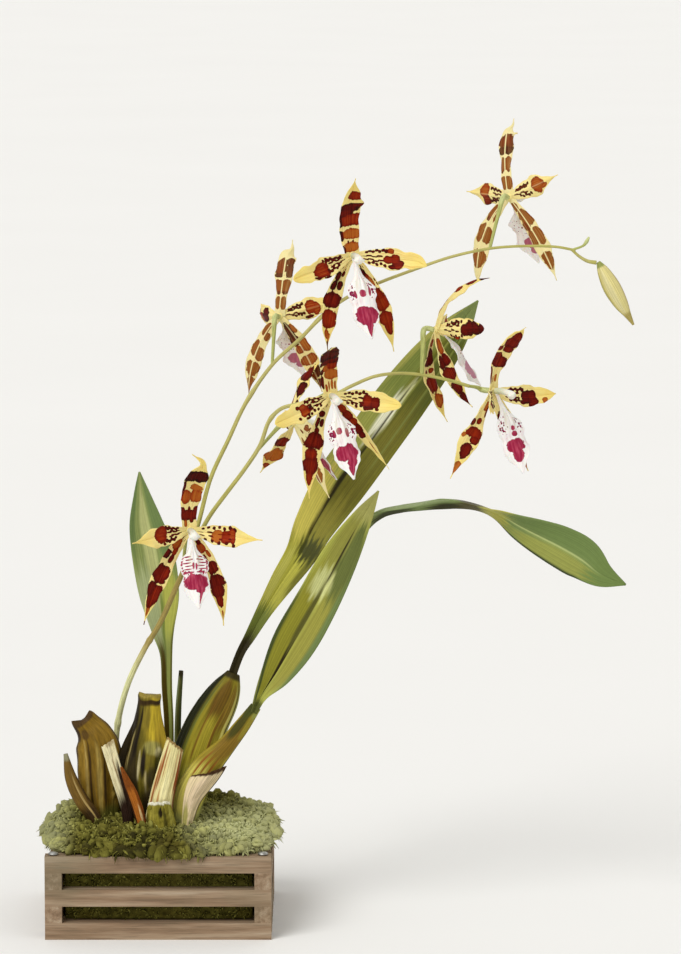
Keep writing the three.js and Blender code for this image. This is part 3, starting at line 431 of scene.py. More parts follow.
def piece(name, skins, looks, node=None):
    """One smooth piece made of skins, which stands for a CAD node."""
    points = np.concatenate([skin.points for skin in skins]) * MM
    faces, looks_used, start = [], [], 0
    for skin in skins:
        faces += [[start + corner for corner in face] for face in skin.faces]
        looks_used += [skin.look] * len(skin.faces)
        start += len(skin.points)
    mesh = bpy.data.meshes.new(name)
    mesh.from_pydata(points.tolist(), [], faces)
    mesh.polygons.foreach_set("material_index", looks_used)
    mesh.polygons.foreach_set("use_smooth", [True] * len(faces))
    for key in sorted(set().union(*(skin.values for skin in skins))):
        column = [skin.values.get(key, np.zeros(len(skin.points))) for skin in skins]
        mesh.attributes.new(key, "FLOAT", "POINT").data.foreach_set("value", np.concatenate(column))
    for look in looks:
        mesh.materials.append(look)
    mesh.update()
    made = bpy.data.objects.new(name, mesh)
    bpy.context.scene.collection.objects.link(made)
    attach(made, "root")
    if node:
        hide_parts(node)
    return made


class Look:
    """One material. Every value is a number, a colour or a node's socket."""

    def __init__(self, name):
        self.material = bpy.data.materials.new(name)
        self.material.use_nodes = True
        self.tree = self.material.node_tree
        self.shader = self.tree.nodes["Principled BSDF"]

    def put(self, socket, value):
        if isinstance(value, bpy.types.NodeSocket):
            self.tree.links.new(value, socket)
        elif isinstance(value, tuple) and socket.type == "RGBA":
            socket.default_value = (*value, 1)
        else:
            socket.default_value = value

    def node(self, kind, inputs=(), **settings):
        made = self.tree.nodes.new(kind)
        for key, value in settings.items():
            setattr(made, key, value)
        for key, value in dict(inputs).items():
            self.put(made.inputs[key], value)
        return made

    def attribute(self, name):
        return self.node("ShaderNodeAttribute", attribute_name=name).outputs["Fac"]

    def paint(self):
        parts = {name: self.attribute(name.lower()) for name in ("Red", "Green", "Blue")}
        return self.node("ShaderNodeCombineColor", parts).outputs[0]

    def place(self):
        return self.node("ShaderNodeTexCoord").outputs["Object"]

    def vector(self, x, y, z):
        return self.node("ShaderNodeCombineXYZ", {"X": x, "Y": y, "Z": z}).outputs[0]

    def math(self, operation, a, b=0.0, clamp=False):
        return self.node("ShaderNodeMath", {0: a, 1: b}, operation=operation, use_clamp=clamp).outputs[0]

    def times(self, a, b):
        return self.math("MULTIPLY", a, b)

    def plus(self, a, b):
        return self.math("ADD", a, b)

    def span(self, value, low, high):
        """0 at low and 1 at high, with a soft change between them."""
        return self.node("ShaderNodeMapRange", {"Value": value, "From Min": low, "From Max": high},
                         interpolation_type="SMOOTHSTEP").outputs["Result"]

    def scaled(self, colour, amount):
        return self.node("ShaderNodeVectorMath", {0: colour, "Scale": amount}, operation="SCALE").outputs[0]

    def noise(self, vector, scale, detail=2.0, roughness=0.5):
        inputs = {"Vector": vector, "Scale": scale, "Detail": detail, "Roughness": roughness}
        return self.node("ShaderNodeTexNoise", inputs).outputs["Fac"]

    def cells(self, vector, scale, feature="F1"):
        inputs = {"Vector": vector, "Scale": scale}
        return self.node("ShaderNodeTexVoronoi", inputs, feature=feature).outputs["Distance"]

    def mix(self, share, a, b, way="MIX"):
        made = self.node("ShaderNodeMix", data_type="RGBA", blend_type=way)
        self.put(made.inputs[0], share)
        self.put(made.inputs[6], a)
        self.put(made.inputs[7], b)
        return made.outputs[2]

    def ramp(self, value, stops):
        made = self.node("ShaderNodeValToRGB", {"Fac": value})
        band = made.color_ramp
        while len(band.elements) < len(stops):
            band.elements.new(0.5)
        for element, (place, colour) in zip(band.elements, stops):
            element.position = place
            element.color = (*colour, 1)
        return made.outputs["Color"]

    def grain(self, across, along, seed=0.0):
        """Coordinates that run with a leaf or bulb, stretched along its length."""
        u = self.times(self.attribute("round_x"), across)
        v = self.plus(self.times(self.attribute("round_y"), across), seed)
        return self.vector(u, v, self.times(self.attribute("along"), along))

    def finish(self, colour, roughness, height=None, depth=0.0002, strength=0.5, **sockets):
        self.put(self.shader.inputs["Base Color"], colour)
        self.put(self.shader.inputs["Roughness"], roughness)
        self.put(self.shader.inputs["Specular IOR Level"], 0.1)
        for key, value in sockets.items():
            self.put(self.shader.inputs[key.replace("_", " ")], value)
        if height is not None:
            inputs = {"Height": height, "Distance": depth, "Strength": strength}
            self.put(self.shader.inputs["Normal"], self.node("ShaderNodeBump", inputs).outputs[0])
        return self.material


# Colours of the blooms.
TEPAL_YELLOW = ink(244, 220, 124)
TEPAL_PALE = ink(242, 224, 150)
TEPAL_GOLD = ink(210, 160, 70)
TEPAL_BACK = ink(234, 220, 160)
TEPAL_TAN = ink(122, 74, 26)
BLOTCH_BLACK = ink(34, 10, 6)
BLOTCH_MAROON = ink(98, 12, 3)
BLOTCH_RED = ink(146, 38, 5)
BLOTCH_ORANGE = ink(178, 98, 32)
LIP_WHITE = ink(244, 240, 236)
LIP_CRIMSON = ink(146, 28, 62)


def tepal_look():
    """Yellow with blotches, whose edges the noise makes ragged, and small flecks."""
    look = Look("tepal")
    place = look.place()
    along, across = look.attribute("along"), look.attribute("across")
    veins_and_sheen = look.noise(look.grain(9.0, 1.6), 1.0, 2.0)
    yellow = look.mix(look.span(along, 0.35, 1.0), TEPAL_PALE, TEPAL_YELLOW)
    yellow = look.mix(look.times(look.span(veins_and_sheen, 0.5, 0.75), 0.55), yellow, TEPAL_GOLD)
    ragged = look.math("SUBTRACT", look.noise(place, 360.0, 3.0, 0.6), 0.5)
    field = look.plus(look.attribute("mark"), look.times(ragged, 0.75))
    inside = look.span(field, -0.03, 0.05)
    # The vein streaks also move the tone inside the blotches toward red and orange: lighter streaks that are
    # partly the veins and partly a painted sheen on the glossy blotches.
    tone = look.plus(look.attribute("tone"), look.times(look.math("SUBTRACT", veins_and_sheen, 0.5), 0.7))
    tone = look.plus(tone, look.times(look.span(field, 0.1, 0.6), 0.16))
    blotch = look.ramp(tone, [(0.0, BLOTCH_BLACK), (0.33, BLOTCH_MAROON), (0.66, BLOTCH_RED),
                              (1.0, BLOTCH_ORANGE)])
    rim = look.times(look.math("SUBTRACT", 1.0, look.span(field, 0.02, 0.26)), 0.55)
    blotch = look.mix(rim, blotch, look.mix(0.5, blotch, BLOTCH_BLACK))
    colour = look.mix(inside, yellow, blotch)
    spots = look.cells(look.grain(3.2, 13.0), 1.0)
    fleck = look.math("LESS_THAN", spots, look.times(look.attribute("fleck"), 0.36))
    colour = look.mix(fleck, colour, BLOTCH_MAROON)
    middle = look.math("ABSOLUTE", across)
    seen = look.times(inside, look.span(middle, 0.02, 0.09))
    tan = look.plus(0.24, look.times(look.attribute("tone"), 0.56))
    back = look.mix(seen, TEPAL_BACK, look.mix(tan, blotch, TEPAL_TAN))
    back = look.mix(look.times(look.span(veins_and_sheen, 0.45, 0.7), 0.14), back, TEPAL_PALE)
    colour = look.mix(look.attribute("front"), back, colour)
    height = look.plus(look.noise(look.grain(16.0, 1.2), 1.0, 1.0), look.times(inside, 0.25))
    return look.finish(colour, 0.5, height, 0.0004, 0.5, Specular_IOR_Level=0.07, Subsurface_Weight=0.05,
                       Subsurface_Scale=0.002)


def lip_look():
    look = Look("lip")
    place = look.place()
    ragged = look.math("SUBTRACT", look.noise(place, 360.0, 3.0, 0.6), 0.5)
    field = look.plus(look.attribute("mark"), look.times(ragged, 0.7))
    inside = look.span(field, -0.03, 0.08)
    tint = look.noise(look.grain(4.0, 5.0), 1.0, 3.0)
    crimson = look.mix(look.span(tint, 0.4, 0.75), LIP_CRIMSON, ink(190, 80, 104))
    rim = look.times(look.math("SUBTRACT", 1.0, look.span(field, 0.02, 0.25)), 0.5)
    crimson = look.mix(rim, crimson, ink(130, 26, 62))
    faded = look.times(look.span(look.attribute("tone"), 0.5, 1.0), 0.8)
    crimson = look.mix(faded, crimson, ink(206, 158, 176))
    white = look.mix(look.span(tint, 0.45, 0.8), LIP_WHITE, ink(222, 202, 204))
    colour = look.mix(inside, white, crimson)
    spots = look.cells(look.grain(6.5, 30.0), 1.0)
    fleck = look.math("LESS_THAN", spots, look.times(look.attribute("fleck"), 0.45))
    colour = look.mix(fleck, colour, ink(128, 28, 66))
    colour = look.mix(look.attribute("crest"), colour, ink(206, 200, 176))
    height = look.noise(look.grain(14.0, 2.0), 1.0, 2.0)
    return look.finish(colour, 0.45, height, 0.0003, 0.5, Subsurface_Weight=0.12, Subsurface_Scale=0.004)


def column_look():
    look = Look("column")
    shade = look.noise(look.place(), 300.0, 2.0)
    colour = look.mix(look.attribute("green"), (0.86, 0.85, 0.76), (0.45, 0.50, 0.25))
    colour = look.mix(look.times(look.span(shade, 0.5, 0.7), 0.4), colour, (0.62, 0.50, 0.46))
    return look.finish(colour, 0.4, shade, 0.0002, 0.4, Subsurface_Weight=0.12, Subsurface_Scale=0.003)


def plant_look(name, across=8.0, along=2.5, depth=0.0004, contrast=0.4, roughness=0.45):
    """Living or dry plant skin: the colour painted on its points, broken by streaks along its length."""
    look = Look(name)
    streaks = look.noise(look.grain(across, along, 3.0), 1.0, 3.0, 0.6)
    fine = look.noise(look.grain(across * 3.5, along * 1.6, 7.0), 1.0, 2.0)
    mottle = look.noise(look.place(), 420.0, 2.0)
    light = look.plus(1 - contrast * 0.95, look.times(look.span(streaks, 0.3, 0.7), contrast * 1.5))
    finer = look.times(look.span(fine, 0.35, 0.7), contrast * 0.75)
    light = look.times(light, look.plus(1 - contrast * 0.4, finer))
    light = look.times(light, look.plus(0.93, look.times(mottle, 0.14)))
    colour = look.scaled(look.paint(), light)
    height = look.plus(look.times(streaks, 0.6), look.times(fine, 0.4))
    return look.finish(colour, roughness, height, depth, 0.6)


def moss_look():
    look = Look("moss")
    shade = look.noise(look.place(), 55.0, 2.0)
    speckle = look.noise(look.place(), 260.0, 3.0, 0.6)
    tone = look.plus(look.attribute("tone"), look.times(look.math("SUBTRACT", speckle, 0.5), 0.5))
    colour = look.ramp(tone, [(0.0, ink(48, 44, 14)), (0.3, ink(90, 86, 32)), (0.62, ink(132, 128, 56)),
                              (1.0, ink(178, 176, 98))])
    colour = look.mix(look.times(look.span(shade, 0.45, 0.7), 0.35), colour, ink(96, 86, 30))
    colour = look.mix(look.times(look.attribute("sea"), 0.88), colour, ink(204, 206, 152))
    return look.finish(colour, 0.85, look.noise(look.place(), 900.0, 2.0), 0.0004, 0.6)


def wood_look(name, along_x):
    """Weathered teak with its grain along one of the two directions of the sticks."""
    look = Look(name)
    parts = look.node("ShaderNodeSeparateXYZ", {"Vector": look.place()}).outputs
    x, y, z = parts[0], parts[1], parts[2]
    long, wide = (x, y) if along_x else (y, x)

    def stretched(along, across):
        return look.vector(look.times(long, along), look.times(wide, across), look.times(z, across))

    grain = look.noise(stretched(14.0, 240.0), 1.0, 4.0, 0.6)
    fine = look.noise(stretched(60.0, 1500.0), 1.0)
    colour = look.ramp(grain, [(0.2, (0.12, 0.075, 0.045)), (0.45, (0.27, 0.18, 0.11)),
                               (0.6, (0.36, 0.26, 0.17)), (0.8, (0.46, 0.37, 0.27))])
    colour = look.mix(look.times(look.span(fine, 0.5, 0.7), 0.4), colour, (0.12, 0.09, 0.06))
    damp = look.noise(look.place(), 24.0, 2.0)
    colour = look.mix(look.times(look.span(damp, 0.5, 0.75), 0.45), colour, (0.16, 0.15, 0.09))
    height = look.plus(look.times(grain, 0.7), look.times(fine, 0.3))
    return look.finish(colour, 0.72, height, 0.0006, 0.7)


def wire_look():
    look = Look("wire")
    wear = look.noise(look.place(), 500.0, 3.0)
    colour = look.mix(look.span(wear, 0.4, 0.7), (0.32, 0.32, 0.30), (0.50, 0.50, 0.47))
    rough = look.node("ShaderNodeMapRange", {"Value": wear, "To Min": 0.3, "To Max": 0.6}).outputs[0]
    return look.finish(colour, rough, wear, 0.0001, 0.4, Metallic=0.9)


def soft_fold(t):
    """A fold without a sharp crease: 0 in the middle and 1 at both margins."""
    return (np.hypot(t, 0.15) - 0.15) / (math.hypot(1, 0.15) - 0.15)


def tepal_half_width(kind, s, blunt=1):
    neck, widest = kind["neck"], kind["widest"]
    growing = neck + (1 - neck) * np.sin(math.pi / 2 * np.minimum(s / widest, 1)) ** 1.3
    closing = np.maximum(1 - smooth(s, widest, 1), 0) ** blunt
    return np.maximum(kind["halfWidth"] * np.where(s < widest, growing, closing), 0.3)


def tepal_path(aim, lean, length, twist):
    """Middle line, direction and side of a tepal from its aim and lean at each step, in radians."""
    tangent = np.stack([np.sin(aim) * np.cos(lean), np.cos(aim) * np.cos(lean), np.sin(lean)], axis=-1)
    steps = (tangent[1:] + tangent[:-1]) / 2 * length / (len(aim) - 1)
    middle = np.concatenate([np.zeros((1, 3)), np.cumsum(steps, axis=0)])
    side = turned(np.stack([np.cos(aim), -np.sin(aim), 0 * aim], axis=-1), tangent, twist)
    return middle, tangent, side


def tepal_grid(kind_name, pose, own, rows, columns):
    """Points of a tepal's middle surface, with s along it, t across it and its half width."""
    kind = TEPAL_KINDS[kind_name]
    aim_start, sweep, rise, curl, length = pose[:5]
    twist = pose[5] if len(pose) > 5 else kind["twist"]
    turn_at_base = pose[6] if len(pose) > 6 else 0
    s = np.linspace(0, 1, rows + 1)
    t = np.linspace(-1, 1, columns + 1)

    def further(key):
        return sum(turn * smooth(s, at, at + over) for at, over, turn in own.get(key, ()))

    aim = aim_start + sweep * s + further("bends")
    lean = rise + curl * s + further("nods")
    roll = turn_at_base + twist * s + further("rolls")
    length = length * own.get("length", 1)
    middle, tangent, side = tepal_path(np.radians(aim), np.radians(lean), length, roll)
    normal = np.cross(side, tangent)
    half = tepal_half_width(kind, s, own.get("blunt", 1)) * (1 + 0.03 * np.sin(23 * s + aim_start))
    ruffle = 0.05 * np.sin(19 * s[:, None] + 2.5 * np.sign(t) + aim_start)
    ruffle = ruffle + 0.03 * np.sin(43 * s[:, None] - np.sign(t))
    spread = 1 + ruffle * np.abs(t)
    for at, over, share, margin in own.get("widths", ()):
        reach = np.exp(-((s - at) / over) ** 2)[:, None]
        spread = spread * (1 + (share - 1) * reach * (smooth(t * margin, 0, 1) if margin else 1))
    fold = math.radians(TEPAL_FOLD)
    height = TEPAL_WAVE * np.sin(math.pi * s)
    wave = np.where(t < 0, np.sin(14 * s + aim_start)[:, None], np.sin(14 * s + 2 + aim_start)[:, None])
    ripple = 0.3 * np.sin(37 * s[:, None] + 2.2 * np.sign(t) + aim_start) * np.abs(t) ** 3
    groove = -0.35 * np.exp(-(t / 0.13) ** 2) * smooth(half, 0.6, 3)[:, None]
    lift = soft_fold(t) * half[:, None] * math.sin(fold) + groove
    lift = lift + height[:, None] * (wave * t ** 2 + ripple)
    grid = (middle[:, None] + side[:, None] * (t * half[:, None] * math.cos(fold) * spread)[..., None]
            + normal[:, None] * lift[..., None])
    return grid, s, t, half


def tepal(kind_name, pose, own, marks, rows, columns):
    grid, s, t, half = tepal_grid(kind_name, pose, own, rows, columns)
    thickness = TEPAL_THICKNESS / 2 * (0.25 + 0.75 * np.sqrt(1 - 0.9 * t ** 2)) * np.ones_like(s)[:, None]
    thickness *= (0.45 + 0.55 * smooth(half, 0.3, 2))[:, None]
    along, across = s[:, None] + 0 * t, t + 0 * s[:, None]
    values = {"along": along, "across": across, "round_x": across, "round_y": across * 0 + pose[0]}
    values.update(marking(along, across, marks))
    made = sheet(grid, thickness, values)
    made.values["front"] = np.maximum(made.values["front"], own.get("through", 0))
    return made


def marking(s, t, marks):
    """Fields of the blotches of one tepal or lip: depth inside a mark, its tone, and fleck density."""
    field = np.full(s.shape, -BLOTCH_REACH)
    tone = np.full(s.shape, 0.5)
    for place, across, long, wide, shade in np.array(marks["blotches"]) / 100:
        grow, stretch = BLOTCH_GROWTH if wide > BLOTCH_SMALL else (1, 1)
        away = [np.abs((s - place) / long / stretch), np.abs((t - across) / wide / grow)]
        depth = 1 - (away[0] ** BLOTCH_POWER + away[1] ** BLOTCH_POWER) ** (1 / BLOTCH_POWER)
        deeper = depth > field
        tone = np.where(deeper, shade, tone)
        field = np.where(deeper, depth, field)
    flecks = patches(s, t, np.array(marks["flecks"]).reshape(-1, 5) / 100)
    return {"mark": field, "tone": tone, "fleck": flecks}


# A tepal's own shape beside its pose: bends, nods and rolls are place, reach and degrees of a further
# aim, lean or twist, and widths are place, reach, share of the plain half width, and margin, 0 for both.
# A blunt number under 1 gives it a broader tip, and through is how much of its markings its back shows.
SHAPES = {
    "bloom_1_lowest": {
        "dorsal": {"length": 1.13, "bends": [[0.77, 0.14, -80]], "nods": [[0.74, 0.14, -40]],
            "widths": [[0.55, 0.2, 1.12, -1], [0.5, 0.2, 1.1, 1], [0.84, 0.1, 0.55, 0]]},
        "sepalRight": {"widths": [[0.4, 0.3, 0.72, 1], [0.6, 0.35, 0.86, 0]]},
        "sepalLeft": {"widths": [[0.3, 0.12, 1.15, 1], [0.55, 0.35, 0.84, 0]]},
    },
    "bloom_2_upper": {
        "dorsal": {"widths": [[0.3, 0.2, 1.25, -1], [0.62, 0.05, 1.35, 1], [0.75, 0.12, 0.75, -1]]},
        "petalRight": {"bends": [[0.8, 0.15, 26]], "blunt": 0.3, "widths": [[0.7, 0.06, 0.88, 0]]},
        "petalLeft": {"widths": [[0.7, 0.07, 0.78, 0]], "blunt": 0.25},
        "sepalLeft": {"widths": [[0.5, 0.5, 0.88, 0]]},
        "sepalRight": {"widths": [[0.5, 0.5, 0.86, 0]]},
    },
    "bloom_3_turned_away": {
        "dorsal": {"length": 1.05, "bends": [[0.74, 0.08, -44], [0.83, 0.08, 52]], "nods": [[0.7, 0.15, -10]],
            "widths": [[0.2, 0.3, 0.7, 0], [0.66, 0.14, 1.0, 0], [0.86, 0.07, 0.5, 0], [0.82, 0.04, 1.9, -1]]},
        "petalRight": {"through": 1},
        "petalLeft": {"through": 0.9, "blunt": 0.6},
        "sepalLeft": {"through": 0.45, "widths": [[0.5, 0.5, 0.88, 0]]},
        "sepalRight": {"widths": [[0.4, 0.4, 0.82, 0]]},
    },
    "bloom_4_centre": {
        "dorsal": {"widths": [[0.5, 0.2, 0.92, -1], [0.9, 0.05, 1.5, 1]]},
        "petalRight": {"blunt": 0.28},
        "petalLeft": {"blunt": 0.25, "widths": [[0.72, 0.07, 0.8, 0]]},
        "sepalRight": {"widths": [[0.45, 0.3, 0.6, 0], [0.85, 0.22, 0.5, 0]]},
        "sepalLeft": {"widths": [[0.25, 0.15, 0.8, 0]]},
    },
    "bloom_5_behind": {
        "sepalRight": {"rolls": [[0.0, 0.25, 30]]},
        "dorsal": {"through": 1},
    },
    "bloom_6_side": {
        "sepalRight": {"nods": [[0.3, 0.2, 10], [0.6, 0.3, -14]], "widths": [[0.5, 0.5, 0.76, 0]]},
        "dorsal": {"widths": [[0.5, 0.5, 0.7, 0]], "through": 1},
        "petalLeft": {"through": 1, "blunt": 0.3, "length": 0.88},
        "petalRight": {"length": 0.8},
    },
    "bloom_7_end": {
        "dorsal": {"bends": [[0.82, 0.1, -48]], "widths": [[0.75, 0.15, 0.75, -1], [0.2, 0.2, 0.8, 0]]},
        "petalRight": {"blunt": 0.42},
        "sepalLeft": {"widths": [[0.2, 0.15, 0.8, 0], [0.85, 0.1, 0.8, 0]]},
        "sepalRight": {"rolls": [[0.0, 0.25, 30]]},
    },
    "bloom_8_top": {
        "dorsal": {"length": 1.04, "bends": [[0.76, 0.08, -40], [0.86, 0.08, 50]],
            "widths": [[0.35, 0.45, 0.64, 0], [0.88, 0.07, 0.5, 0], [0.8, 0.04, 2.0, -1]]},
        "petalRight": {"widths": [[0.8, 0.16, 0.7, 0]], "through": 0.75},
        "petalLeft": {"widths": [[0.82, 0.14, 0.7, 0]], "through": 0.75},
        "sepalRight": {"blunt": 0.4, "widths": [[0.3, 0.3, 0.88, 0]]},
        "sepalLeft": {"widths": [[0.45, 0.45, 0.8, 0]]},
    },
}


def spots(first, last, across, count, tone=5, long=2.3, wide=18):
    """A row of small marks along a tepal, which swing to either side of their line."""
    places = np.linspace(first, last, count)
    return [[place, across + 7 * (-1) ** k, long, wide, tone] for k, place in enumerate(places)]


def streaks(first, last, across, count, tone=10):
    return spots(first, last, across, count, tone, 4.2, 10)


def lip_streaks(side, count=6):
    """Crimson streaks that fan out over a side lobe of the lip, with a dot beyond each."""
    rows = []
    for k, place in enumerate(np.linspace(30, 50, count)):
        rows.append([place, side * (46 + 6 * (-1) ** k), 0.9, 26, 30])
        rows.append([place + 1.5, side * 88, 1.3, 7, 20])
    return rows


def petal_marks(main, top, bottom, near=18, far=46):
    """Streaks and spots of a petal's inner half, and its own main blotches beside them."""
    rows = spots(near, far, top, 7) + spots(near + 5, far, bottom, 5)
    rows += streaks(near, far - 6, 35, 4) + streaks(near - 3, far - 8, -15, 4)
    return plain_marks(main + rows, [[near + 10, 0, 12, 60, 60]])


def plain_marks(blotches, flecks=()):
    return {"blotches": blotches, "flecks": list(flecks)}


